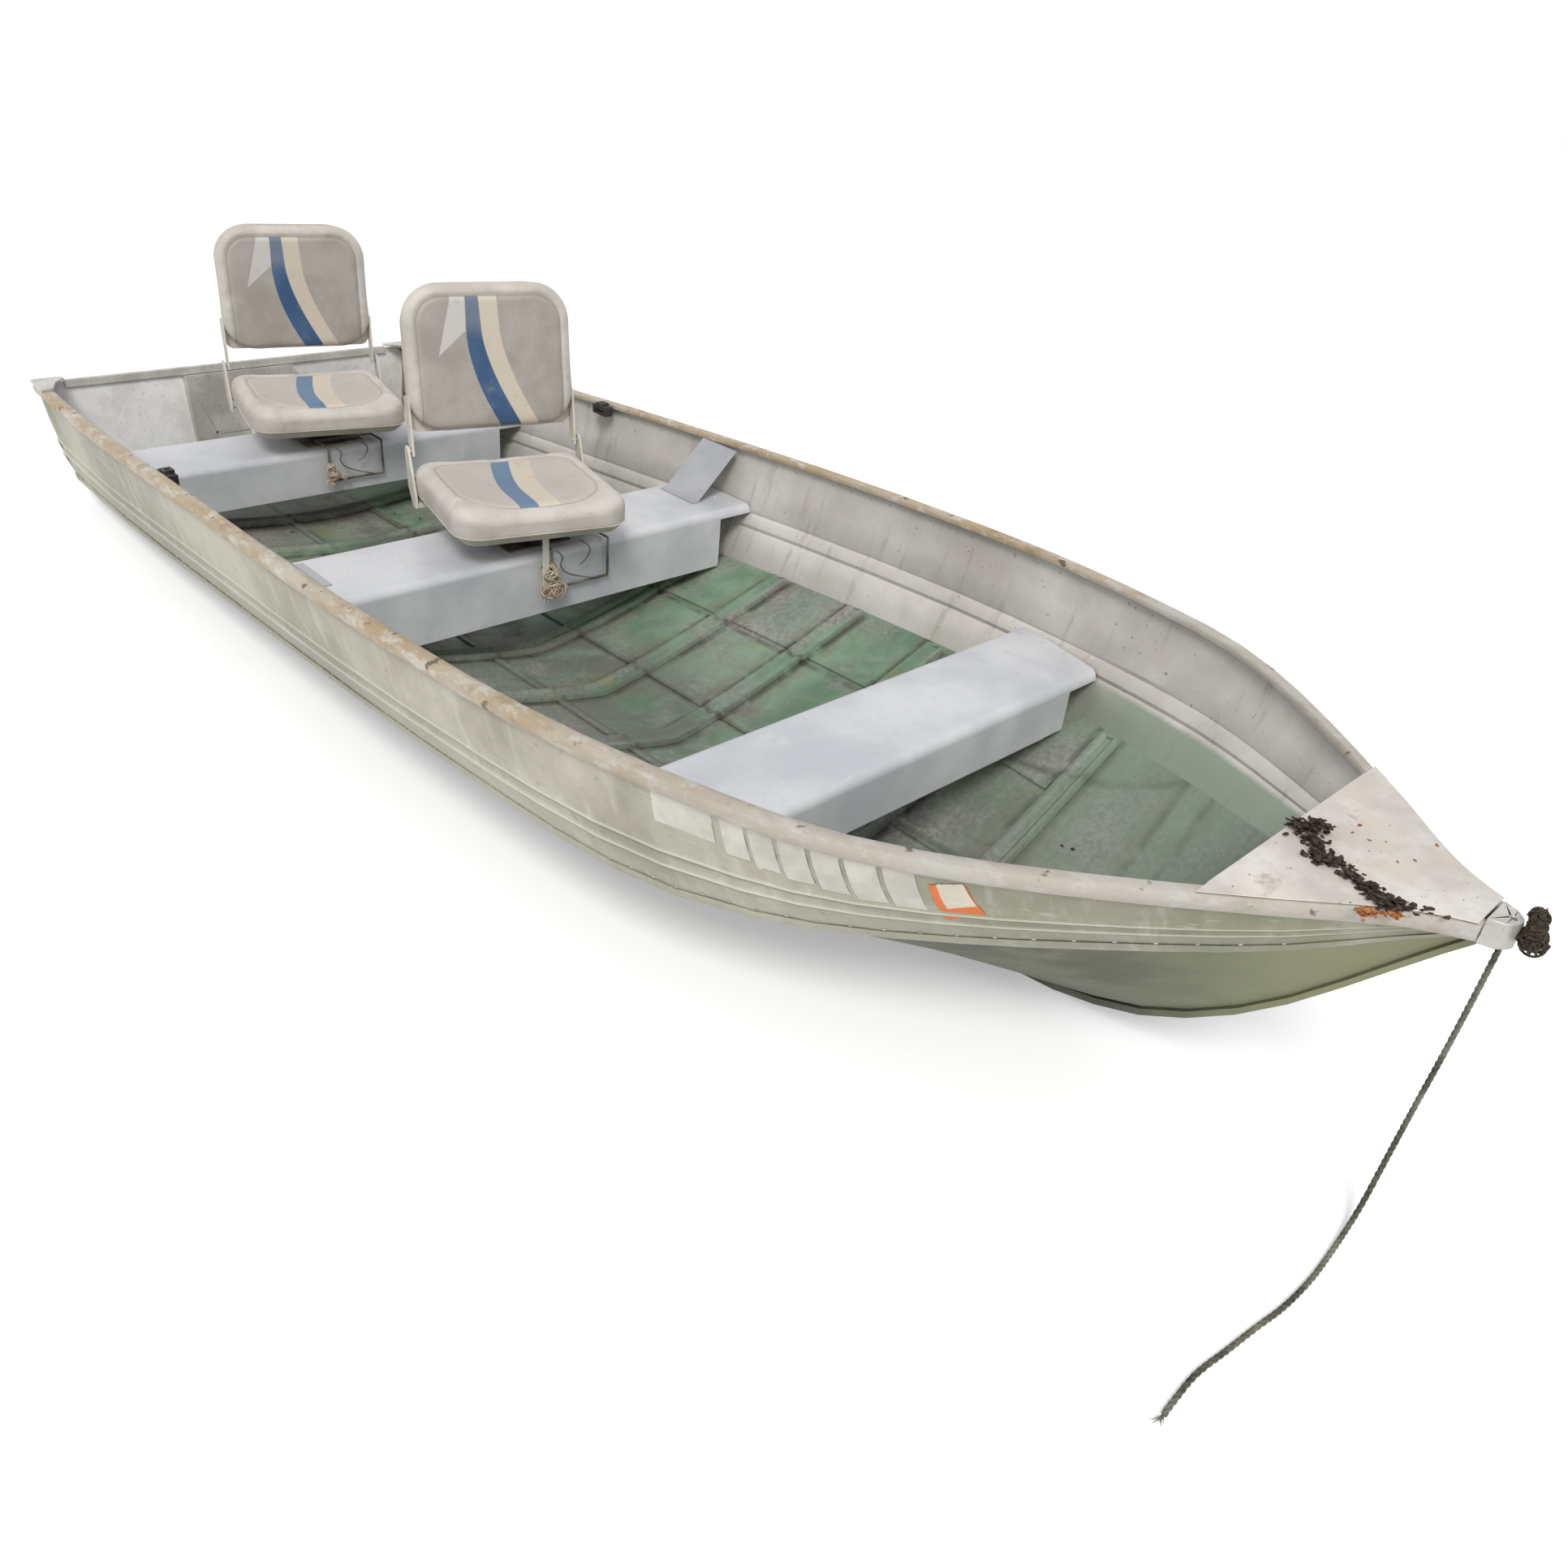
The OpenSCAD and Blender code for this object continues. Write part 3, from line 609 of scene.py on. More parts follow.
def floor_paint():
    m = Shade("floor_paint")
    x, y = m.axis("X"), m.axis("Y")
    wide = m.noise(3.4, 5, 0.62)
    worn = m.step(m.noise(5.2, 5, 0.6, shift=(3.1, 0, 0)), 0.47, 0.60)
    fleck = m.noise(70, 3, 0.65)
    green = m.mix(m.step(wide, 0.35, 0.65), (0.100, 0.175, 0.110), (0.215, 0.310, 0.215))
    bare = m.mix(m.step(fleck, 0.30, 0.70), (0.190, 0.178, 0.165), (0.330, 0.318, 0.300))
    aft = x + MIDDLE / 1000
    cell = m.maths("FLOOR", aft * (1 / RIB_PITCH)) * 7.0
    for seam_y in SEAMS_Y:
        cell = cell + m.step(y.size(), seam_y - SEAM_EDGE, seam_y + SEAM_EDGE)
    cell = cell + m.step(y, -0.001, 0.001) * 3.0
    cells = m.add("ShaderNodeTexWhiteNoise", {"noise_dimensions": "1D"}, {"W": cell})
    panel = m.step(cells, 0.35, 0.65)
    base = m.mix(m.maths("ADD", worn * 0.45, panel * 0.50, clamp=True), green, bare)
    moss = m.step(m.noise(6, 4, 0.6, shift=(0, 7, 0)), 0.60, 0.74) * (1.0 - worn)
    base = m.mix(moss * 0.65, base, (0.250, 0.230, 0.080))
    rib = m.maths("PINGPONG", aft, RIB_PITCH / 2)
    dirt = m.step(m.noise(14, 3, 0.6), 0.30, 0.55)
    foot = m.near(rib - 0.040, 0.0, 0.020) * dirt
    inner, outer = (m.near(y.size() - seam_y, 0.0, 0.016) for seam_y in SEAMS_Y)
    seam = inner.most(outer)
    rusty = m.near(rib - 0.060, 0.0, 0.035) * m.step(m.noise(8, 4, 0.6, shift=(2, 2, 0)), 0.40, 0.62)
    base = m.mix(rusty * 0.45, base, (0.185, 0.150, 0.095))
    base = m.mix(m.maths("ADD", foot * 0.80, seam * dirt * 0.6, clamp=True), base, (0.050, 0.042, 0.030))
    base = m.mix(m.step(x, 0.9, 1.3) * 0.45, base, (0.260, 0.330, 0.245))
    silt = (1.0 - m.step(y.size(), 0.05, 0.42)) * (1.0 - m.step(x, 0.9, 1.7))
    base = m.mix(silt * m.step(m.noise(6, 5, 0.65), 0.38, 0.62) * 0.7, base, (0.120, 0.112, 0.100))
    base = m.mix(m.step(fleck, 0.66, 0.74) * 0.5, base, (0.050, 0.045, 0.035))
    grain = m.bump(fleck, 0.0008, 0.6, m.bump(wide, 0.006, 0.4))
    return m.finish(colour=base, rough=0.50 + 0.35 * worn, metal=0.05, normal=grain, specular=0.35)


floor_green = floor_paint()
print("finish:", floor_green.name)

# %% [markdown]
# ## Gunwales
# The gunwale extrusion carries the worst stains: tan film, ochre runs and near-black
# spots, greyer towards the bow. Noise stretched along the hull makes the runs follow the
# rail as they do on the real one.

# %% Gunwale finish
def gunwale_metal():
    m = Shade("gunwale_metal")
    x = m.axis("X")
    long = m.noise(4.5, 5, 0.65, stretch=(1, 3, 3))
    fine = m.noise(34, 4, 0.7, stretch=(0.5, 1, 1))
    base = m.mix(m.step(long, 0.30, 0.62), (0.510, 0.460, 0.370), (0.420, 0.315, 0.190))
    base = m.mix(m.step(fine, 0.50, 0.64) * 0.6, base, (0.640, 0.620, 0.575))
    fore = m.step(x, 0.4, 1.5)
    base = m.mix(fore * 0.6, base, (0.480, 0.475, 0.455))
    stain = m.step(m.noise(9, 5, 0.7, shift=(4, 1, 0)), 0.54, 0.70) * (1.0 - fore * 0.5)
    base = m.mix(stain * 0.6, base, (0.260, 0.170, 0.095))
    spot = m.step(m.noise(23, 3, 0.6, shift=(0, 5, 0)), 0.64, 0.70)
    base = m.mix(spot * 0.85, base, (0.110, 0.070, 0.040))
    return m.finish(colour=base, rough=0.38 + 0.3 * long, metal=0.30, normal=m.bump(fine, 0.0009, 0.6))


gunwale = gunwale_metal()
print("finish:", gunwale.name)

# %% [markdown]
# ## Benches
# The benches are a satin grey-blue that scuffs to pale metal. The two braces beside the
# middle bench have the same paint with painted shade on it, so one function makes both and
# a single number darkens it.

# %% Bench finishes
BENCH_DARK = (0.500, 0.510, 0.540)
BENCH_PALE = (0.640, 0.645, 0.655)
KNEE_PAINTED_SHADE = 0.68


def bench_paint(name, light=1.0):
    m = Shade(name)
    cloud = m.noise(3.8, 4, 0.6)
    scuff = m.noise(16, 5, 0.75, stretch=(1, 0.35, 1))
    dust = m.noise(52, 4, 0.7)
    # A light below 1 darkens both colours as painted shade.
    dark, pale = (tuple(c * light for c in colour) for colour in (BENCH_DARK, BENCH_PALE))
    base = m.mix(m.step(cloud, 0.34, 0.68), dark, pale)
    base = m.mix(m.step(scuff, 0.60, 0.72) * 0.4, base, (0.680, 0.680, 0.680))
    base = m.mix(m.step(dust, 0.60, 0.72) * 0.25, base, (0.300, 0.270, 0.230))
    grain = m.bump(dust, 0.0005, 0.5, m.bump(m.noise(6, 2, 0.4), 0.004, 0.5))
    return m.finish(colour=base, rough=0.33 + 0.22 * cloud, metal=0.05, normal=grain, specular=0.5)


bench = bench_paint("bench_paint")
# The braces' copy is the bench paint darkened as painted shade.
knee_painted_shade = bench_paint("knee_painted_shade", KNEE_PAINTED_SHADE)
print("finishes:", bench.name, knee_painted_shade.name)

# %% [markdown]
# ## Bow deck
# The bow deck is chalk-white, with rust-brown marks where leaves have lain, warm stains
# and black specks. Each mark is its own noise, shifted so that no two kinds fall on the
# same spots.

# %% Deck finish
def deck_paint():
    m = Shade("deck_paint")
    cloud = m.noise(7, 5, 0.65)
    chip = m.step(m.noise(26, 4, 0.7), 0.60, 0.66)
    rust = m.step(m.noise(13, 4, 0.65, shift=(2, 0, 0)), 0.58, 0.70)
    base = m.mix(m.step(cloud, 0.35, 0.68), (0.540, 0.500, 0.450), (0.720, 0.685, 0.625))
    base = m.mix(rust * 0.55, base, (0.330, 0.235, 0.165))
    base = m.mix(chip * 0.5, base, (0.470, 0.455, 0.440))
    warm = m.step(m.noise(9, 4, 0.6, shift=(0, 3, 0)), 0.45, 0.70)
    base = m.mix(warm * 0.5, base, (0.640, 0.520, 0.400))
    speck = m.step(m.noise(62, 3, 0.6), 0.690, 0.715)
    base = m.mix(speck * 0.9, base, (0.070, 0.052, 0.040))
    return m.finish(colour=base, rough=0.45 + 0.25 * cloud, metal=0.05,
                    normal=m.bump(m.noise(40, 4, 0.6), 0.0010, 0.6))


deck = deck_paint()
print("finish:", deck.name)

# %% [markdown]
# ## Small finishes
# Castings, rivets, hooks, foam and moulded seat shells need no story of their own: each
# is a cloudy colour with specks. One function makes them all from two colours, a speck
# colour and how metallic and how rough it is, instead of eight near copies.

# %% Bare metal, dark steel, brass, foam and plastic
def bare_metal(name, low, high, metal, rough, speck=(0.20, 0.16, 0.11), amount=0.5):
    m = Shade(name)
    cloud = m.noise(8, 5, 0.62)
    fleck = m.noise(80, 3, 0.65)
    base = m.mix(m.step(cloud, 0.35, 0.66), low, high)
    base = m.mix(m.step(fleck, 0.58, 0.70) * amount, base, speck)
    return m.finish(colour=base, rough=rough + 0.2 * cloud, metal=metal, normal=m.bump(fleck, 0.0006, 0.5))


cast_metal = bare_metal("cast_metal", (0.48, 0.46, 0.42), (0.62, 0.60, 0.56), 0.45, 0.35)
rivet_metal = bare_metal("rivet_metal", (0.36, 0.34, 0.30), (0.56, 0.54, 0.50), 0.5, 0.35)
# The transom's inner sheet is far paler than the side sheets: painted light on its inner face.
transom_painted_light = bare_metal("transom_sheet_painted_light", (0.72, 0.70, 0.68), (0.88, 0.86, 0.84), 0.05, 0.40,
                           (0.30, 0.27, 0.22), 0.3)
dark_steel = bare_metal("dark_steel", (0.018, 0.018, 0.020), (0.055, 0.052, 0.050), 0.35, 0.40,
                        (0.130, 0.060, 0.030), 0.6)
wire_steel = bare_metal("rusty_wire", (0.085, 0.070, 0.058), (0.330, 0.290, 0.250), 0.45, 0.45,
                        (0.210, 0.090, 0.045), 0.9)
brass = bare_metal("dull_brass", (0.26, 0.18, 0.07), (0.42, 0.31, 0.14), 0.7, 0.40)
foam = bare_metal("bench_foam", (0.62, 0.60, 0.54), (0.78, 0.76, 0.71), 0.0, 0.85, (0.40, 0.37, 0.30), 0.3)
seat_plastic = bare_metal("seat_plastic", (0.52, 0.48, 0.41), (0.66, 0.62, 0.55), 0.0, 0.45,
                          (0.36, 0.31, 0.24), 0.4)
print("small finishes ready")

# %% [markdown]
# ## Dressing the solids
# Each solid's mesh comes as loose triangles, which shade as flat facets. A copy with
# its doubles merged shades smoothly, with sharp edges kept where the sheet really folds.
# A narrow bevel on folded and cut parts catches the light as a real edge does.

# %% Smooth copies of the solids
MERGE = 2e-5
BEVEL_FROM = math.radians(38)


def merged(node, sharp):
    """A smooth copy of a solid, with edges sharper than this many degrees kept."""
    bm = bmesh.new()
    bm.from_mesh(nodes[node].data)
    bmesh.ops.remove_doubles(bm, verts=bm.verts, dist=MERGE)
    bmesh.ops.dissolve_degenerate(bm, edges=bm.edges, dist=1e-6)
    limit = math.radians(sharp)
    for edge in bm.edges:
        edge.smooth = len(edge.link_faces) == 2 and edge.calc_face_angle(9.0) < limit
    for face in bm.faces:
        face.smooth = True
    return bm


def side_level(co):
    """How far up the side a point lies, 0 at the chine and 1 at the gunwale."""
    x = co.x * 1000 + MIDDLE
    x -= lean(x, co.z * 1000)
    low = curve(x, CHINE_Z) + FOOT_UP
    return (co.z * 1000 - low) / (curve(x, GUNWALE_Z) - HEAD_DOWN - low)


def dress(node, material, body="hull", sharp=32.0, bevel=0.0, inner=None, inside=None):
    """Puts a finished copy in a solid's place, with a second finish on its inner faces."""
    bm = merged(node, sharp)
    if inner is not None:
        for face in bm.faces:
            face.material_index = 1 if inside(face) else 0
    mats = [material] if inner is None else [material, inner]
    obj = keep(node + "_skin", bm, mats, body)
    if node.startswith("side_"):
        level = obj.data.attributes.new("g", "FLOAT", "POINT")
        for i, v in enumerate(obj.data.vertices):
            level.data[i].value = side_level(v.co)
    if bevel:
        soft = obj.modifiers.new("edges", "BEVEL")
        soft.width = bevel
        soft.segments = 2
        soft.limit_method = "ANGLE"
        soft.angle_limit = BEVEL_FROM
    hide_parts(node)
    return obj


# %% [markdown]
# ## The hull's own pieces
# Side and bottom sheets are painted outside and bare or green inside. The two could be
# two pieces, but a sheet is one thing, so each face takes the finish of the side that
# it looks to. Ribs and stringers share the floor's paint, and the benches theirs.

# %% Hull sheets, rails, ribs and benches
dress("side_port", hull_outer, inner=inner_sheet, inside=lambda f: f.normal.y < 0.05)
dress("side_starboard", hull_outer, inner=inner_sheet, inside=lambda f: f.normal.y > -0.05)
for node in ("bottom_port", "bottom_starboard", "bow_bottom_port", "bow_bottom_starboard"):
    dress(node, bottom_outer, inner=floor_green, inside=lambda f: f.normal.z > 0.02)
for node in ("gunwale_port", "gunwale_starboard"):
    dress(node, gunwale, sharp=50)
for node in ("floor_ribs", "bow_ribs", "floor_stringers"):
    dress(node, floor_green, sharp=25)
for node in ("bench_aft", "bench_mid", "bench_bow"):
    dress(node, bench, sharp=40)
dress("gunwale_knees", knee_painted_shade, bevel=0.0008)
dress("chine_rails", hull_outer, sharp=40)
dress("keel_and_stem", bottom_outer, sharp=25)
dress("skid_strakes", cast_metal, bevel=0.0010)
# The transom's inner faces take the paler sheet with painted light.
dress("transom", hull_outer, inner=transom_painted_light, inside=lambda f: f.normal.x > 0.3)
dress("bow_deck", deck, sharp=25)
print("hull solids dressed")

# %% [markdown]
# ## Fittings
# Caps, corner plates, the boards for a motor, sockets, hooks and the moulded seat
# shells each take one finish. Cut plates get a narrow bevel, and wires and mouldings do
# not, because their solids are round already.

# %% Small fittings
for node in ("transom_cap", "stern_corners", "motor_boards", "bow_nose"):
    dress(node, cast_metal, bevel=0.0012)
dress("transom_knee", transom_painted_light, bevel=0.0010)
dress("drain_fitting", brass)
dress("bench_brackets", cast_metal)
dress("bench_foam", foam, bevel=0.004)
dress("oarlock_sockets", dark_steel, bevel=0.0015)
for seat in ("aft", "mid"):
    dress(seat + "_seat_clamp", wire_steel, sharp=40)
    dress(seat + "_swivel", dark_steel, body=seat + "_seat", bevel=0.0010)
    dress(seat + "_seat_shell", seat_plastic, body=seat + "_seat", sharp=40)
    dress(seat + "_back_shell", seat_plastic, body=seat + "_back", sharp=40)
print("fittings dressed")

# %% [markdown]
# ## Seat vinyl
# Each pad is sewn from pale vinyl: a rolled border round a greyer panel, with a blue
# swoosh and a cream one beside it. The pattern is drawn in the pad's own measures, which
# are kept as a UV map, so both seats show the same print however they are turned. Light
# is painted in the same way: glare on the blue and a pale sunlit wedge on each back, and
# a paler panel and blue on each cushion.

# %% Prints on the vinyl
BLUR = 0.0015
SUNLIT_WEDGE_BLUR = 0.0020


def sunlit_wedge_edge(m, v):
    """The lower edge of the painted sunlit wedge, which runs down and away from the blue stripe."""
    return (v - 0.298) * 1.21 - 0.069 + m.step(v, 0.2975, 0.2985) * 0.5


def back_print(m, u, v, panel, blue):
    """The back's swoosh, which leans away and widens downwards, with painted glare on its top and a pale
    wedge of painted sunlight.
    """
    run = m.maths("MAXIMUM", (0.300 - v) * 4.27, 0.0)
    centre = m.maths("POWER", run, 1.7) * 0.081 - 0.045
    half = 0.017 + 0.012 * m.step(0.42 - v, 0.0, 0.34)
    left = centre - half
    # Painted glare: the blue turns greyer and lighter towards its top.
    top = m.step(v, 0.270, 0.330)
    blue = m.mix(top * 0.55, blue, (0.230, 0.260, 0.300))
    # A pale wedge of painted sunlight beside the blue stripe.
    edge = left.least(sunlit_wedge_edge(m, v))
    wedge = m.step(u - (v * 0.2875 - 0.2118), 0.0, SUNLIT_WEDGE_BLUR) * m.step(edge - u, 0.0, SUNLIT_WEDGE_BLUR)
    return centre, half, m.mix(wedge * 0.8, panel, (0.620, 0.600, 0.565)), blue


def cushion_print(m, u, v, panel, blue):
    """The cushion's swoosh, a shallow bow of one width, with its panel and blue painted paler as painted
    light.
    """
    # Painted light: the panel and the blue are mixed paler than on the back.
    panel = m.mix(0.55, panel, (0.600, 0.560, 0.500))
    bend = (0.10 - v) * 3.3333
    centre = bend * bend * 0.050 - 0.038
    return centre, 0.026, panel, m.mix(0.42, blue, (0.230, 0.330, 0.440))


print("prints: back and cushion")

# %% [markdown]
# ## The vinyl round the print
# The border, the panel and the print are mixed by how far a point is inside the seam,
# which is stored on the mesh. The seam is darker, dirt soils the high places, and a
# very fine grain and soft creases make it vinyl and not plastic.

# %% Vinyl
def vinyl(name, drawn, cream_width):
    m = Shade(name)
    u, v = m.flat("pad")
    inset = m.level("inset")
    cloud = m.noise(7, 4, 0.6)
    soil = m.noise(22, 5, 0.7)
    grain = m.noise(520, 2, 0.5)
    border = m.mix(m.step(cloud, 0.35, 0.65), (0.500, 0.455, 0.400), (0.600, 0.560, 0.505))
    panel = m.mix(m.step(cloud, 0.35, 0.65), (0.345, 0.310, 0.275), (0.425, 0.388, 0.345))
    cream = (0.630, 0.550, 0.440)
    blue = m.mix(m.step(cloud, 0.4, 0.7), (0.038, 0.090, 0.190), (0.070, 0.140, 0.250))
    centre, half, panel, blue = drawn(m, u, v, panel, blue)
    s = u - centre
    blue_band = m.step(half - s.size(), 0.0, BLUR)
    cream_band = m.step(s - half, 0.0, BLUR) * m.step((half + cream_width) - s, 0.0, BLUR)
    printed = m.mix(cream_band * 0.9, panel, cream)
    printed = m.mix(blue_band, printed, blue)
    base = m.mix(m.step(inset, 0.45, 0.55), border, printed)
    # The seam is darker.
    seam = m.near(inset - 0.5, 0.02, 0.12)
    base = m.mix(seam * 0.55, base, (0.240, 0.205, 0.165))
    base = m.mix(m.step(soil, 0.56, 0.72) * 0.35, base, (0.330, 0.290, 0.235))
    creases = m.bump(m.noise(26, 3, 0.5), 0.0020, 0.35)
    return m.finish(colour=base, rough=0.42 + 0.18 * cloud, normal=m.bump(grain, 0.0004, 0.5, creases),
                    specular=0.4)


back_vinyl = vinyl("back_vinyl", back_print, 0.050)
seat_vinyl = vinyl("cushion_vinyl", cushion_print, 0.058)
print("finishes:", back_vinyl.name, seat_vinyl.name)

# %% [markdown]
# ## Cushions and back pads
# A boat seat's pad is foam pulled into a sewn cover, so it bulges between its seams. A
# bevelled block about as large as the pad is remeshed, blown up gently as cloth and
# then pressed in along the seam of its inset panel. That gives the crowned top and the
# fat rolled border with no hand-made faces.

# %% Rounded block
def block(size, centre, corners, rims, turned=None):
    """A box with its upright corners rounded by corners and its rims by rims."""
    bm = bmesh.new()
    bmesh.ops.create_cube(bm, size=1.0)
    bmesh.ops.scale(bm, vec=size, verts=bm.verts)
    upright = [e for e in bm.edges if abs(e.verts[0].co.z - e.verts[1].co.z) > size[2] * 0.9]
    bmesh.ops.bevel(bm, geom=upright, offset=corners, segments=8, affect="EDGES", profile=0.5, material=-1)
    flat = [e for e in bm.edges if abs(e.verts[0].co.z - e.verts[1].co.z) < 1e-6
            and len(e.link_faces) == 2 and e.calc_face_angle(0) > 1.0]
    bmesh.ops.bevel(bm, geom=flat, offset=rims, segments=4, affect="EDGES", profile=0.5, material=-1)
    if turned:
        turned(bm)
    bmesh.ops.translate(bm, vec=centre, verts=bm.verts)
    return bm


print("block helper ready")

# %% [markdown]
# ## Blown up as cloth
# Sculpting the bulge would take long and bend unevenly. Here the block is remeshed into
# even squares, given its rough shape and blown up by a gentle pressure in Blender's
# cloth. A cap on how far a point may move keeps the pad at its real size.

# %% Remesh and cloth
VOXEL = 0.006
PRESSURE = 4.0
CLOTH_FRAMES = 20


def baked(obj):
    """Turns an object's modifiers into plain mesh."""
    bpy.context.view_layer.update()
    mesh = bpy.data.meshes.new_from_object(obj.evaluated_get(bpy.context.evaluated_depsgraph_get()))
    obj.modifiers.clear()
    old = obj.data
    obj.data = mesh
    bpy.data.meshes.remove(old)


def puffed(name, bm, material, body, cap, shape):
    """A block blown up as cloth, no point moving farther than the cap."""
    obj = keep(name, bm, material, body)
    remesh = obj.modifiers.new("remesh", "REMESH")
    remesh.mode = "VOXEL"
    remesh.voxel_size = VOXEL
    baked(obj)
    for v in obj.data.vertices:
        v.co = shape(v.co)
    before = [v.co.copy() for v in obj.data.vertices]
    cloth = obj.modifiers.new("cloth", "CLOTH")
    cloth.settings.use_pressure = True
    cloth.settings.uniform_pressure_force = PRESSURE
    cloth.settings.effector_weights.gravity = 0.0
    cloth.point_cache.frame_end = CLOTH_FRAMES
    for step in range(1, CLOTH_FRAMES + 1):
        bpy.context.scene.frame_set(step)
    baked(obj)
    bpy.context.scene.frame_set(1)
    for v, was in zip(obj.data.vertices, before):
        moved = v.co - was
        if moved.length > cap:
            v.co = was + moved.normalized() * cap
    subdivided = obj.modifiers.new("finer", "SUBSURF")
    subdivided.levels = 1
    subdivided.render_levels = 1
    baked(obj)
    for polygon in obj.data.polygons:
        polygon.use_smooth = True
    return obj


print("pad helpers ready")

# %% [markdown]
# ## Seams
# The inset panel is sewn along a rounded outline. How far a point of the front face is
# inside that outline gives three things at once: the level that the vinyl reads, the
# groove of the seam and the panel that sits a little lower.

# %% Seam and panel
def rounded(px, py, half_x, low, high, r_low, r_high):
    """Distance outside a rounded outline, negative inside it."""
    r = r_high if py > (low + high) / 2 else r_low
    qx = abs(px) - half_x + r
    qy = abs(py - (low + high) / 2) - (high - low) / 2 + r
    return math.hypot(max(qx, 0), max(qy, 0)) + min(max(qx, qy), 0) - r


FRONT = 0.15
SEAM_RAMP = 0.024
SEAM_HALF = 0.0065
PANEL_SINK = 0.35


def sew(obj, across, along, outline, depth, facing, press):
    """Keeps the pad's own measures, marks the inset panel and presses its seam in."""
    mesh = obj.data
    inset = mesh.attributes.new("inset", "FLOAT", "POINT")
    uv = mesh.uv_layers.new(name="pad")
    places = [(across(v.co), along(v.co)) for v in mesh.vertices]
    normals = [v.normal.copy() for v in mesh.vertices]
    for i, v in enumerate(mesh.vertices):
        front = normals[i].dot(facing)
        inside = -outline(*places[i])
        level = min(1.0, max(0.0, 0.5 + (inside - depth) / SEAM_RAMP)) if front > FRONT else 0.0
        inset.data[i].value = level
        groove = math.exp(-((inside - depth) / SEAM_HALF) ** 2) if front > FRONT else 0.0
        v.co -= facing * (press * groove + PANEL_SINK * press * level)
    for loop in mesh.loops:
        uv.data[loop.index].uv = places[loop.vertex_index]
    mesh.update()


def set_down(obj, matrix):
    """Puts a piece in its place by moving its mesh, so that its object stays at the origin."""
    obj.data.transform(matrix)
    obj.data.update()


print("sewing helpers ready")

# %% [markdown]
# ## Where the pads go and how they are shaped
# Both seats are alike and turned a little on their swivels, and only their benches and
# the lean of their backs differ. The pads are shaped before they are blown up: a
# cushion is hollowed where one sits, and a back is a little wider at its foot.

# %% Places and shapes of the pads
SEAT_TURN = math.radians(-14)
SEAT_W, SEAT_D, BACK_W, BACK_H = 0.470, 0.440, 0.460, 0.378
HINGE_IN = 0.030
HINGE_Z = 0.186
BACK_UP = 0.042


def seat_place(centre_x, bench_z):
    return Matrix.Translation((centre_x, 0, bench_z)) @ Matrix.Rotation(SEAT_TURN, 4, "Z")


def back_place(centre_x, bench_z, lean_back):
    hinge = Matrix.Translation((HINGE_IN - SEAT_D / 2, 0, HINGE_Z))
    return seat_place(centre_x, bench_z) @ hinge @ Matrix.Rotation(-math.radians(lean_back), 4, "Y")


def bucket(co):
    """Draws the sides in towards the bottom, hollows the top and drops its front edge."""
    x, y, z = co
    low = min(1.0, max(0.0, (0.092 - z) / 0.026))
    draw = 1.0 - 0.055 * low * low
    high = min(1.0, max(0.0, (z - 0.108) / 0.036))
    rim = min(1.0, abs(y) / 0.21)
    rise = 0.008 * rim ** 3 - 0.011 * math.exp(-((x + 0.01) / 0.12) ** 2 - (y / 0.14) ** 2)
    rise -= 0.010 * max(0.0, (x - 0.10) / 0.12) ** 2 * (1.0 - 0.6 * rim ** 2)
    return Vector((x * draw, y * draw, z + high * rise))


def shield(co):
    """Widens the pad's foot a little and thins its front towards the sides."""
    x, y, z = co
    foot = min(1.0, max(0.0, (0.200 - z) / 0.16))
    y *= 1.0 + 0.020 * foot * min(1.0, abs(y) / 0.15)
    edge = min(1.0, abs(y) / 0.23) ** 4
    return Vector((x - 0.004 * edge if x > 0.004 else x, y, z))


def stand(bm):
    """Turns a flat block up to stand as a back."""
    bmesh.ops.rotate(bm, verts=bm.verts, cent=(0, 0, 0), matrix=Matrix.Rotation(math.pi / 2, 3, "Y"))


print("pad shapes ready")

# %% [markdown]
# ## The four pads
# Each seat gets a cushion on its swivelling body and a back pad on its folding body.
# Each takes its solid's place, and says how full of foam it is.

# %% The four pads
CUSHION_THICK = 0.080
CUSHION_Z = 0.1055
BACK_THICK = 0.046
BACK_X = 0.0035
SEAM_PRESS = 0.0045


def finish_pad(pad, stands_for, place):
    set_down(pad, place)
    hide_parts(stands_for)
    return len(pad.data.polygons)


def seat_cushion(seat, place):
    bm = block((SEAT_D + 0.004, SEAT_W + 0.006, CUSHION_THICK), (0, 0, CUSHION_Z), 0.074, 0.024)
    pad = puffed(seat + "_cushion_pad", bm, seat_vinyl, seat + "_seat", 0.007, bucket)
    sew(pad, lambda c: c.y, lambda c: c.x,
        lambda u, v: rounded(u, v, SEAT_W / 2 - 0.006, 0.010 - SEAT_D / 2, SEAT_D / 2 - 0.006, 0.10, 0.17),
        0.040, Vector((0, 0, 1)), SEAM_PRESS)
    return finish_pad(pad, seat + "_cushion", place)


def seat_back(seat, place):
    bm = block((BACK_H - 0.002, BACK_W, BACK_THICK), (0, 0, 0), 0.100, 0.017, stand)
    bmesh.ops.translate(bm, vec=(BACK_X, 0, BACK_UP + BACK_H / 2), verts=bm.verts)
    pad = puffed(seat + "_back_cushion", bm, back_vinyl, seat + "_back", 0.006, shield)
    sew(pad, lambda c: c.y, lambda c: c.z,
        lambda u, v: rounded(u, v, BACK_W / 2, 0.018, BACK_UP + BACK_H, 0.03, 0.105),
        0.036, Vector((1, 0, 0)), SEAM_PRESS)
    return finish_pad(pad, seat + "_back_pad", place)


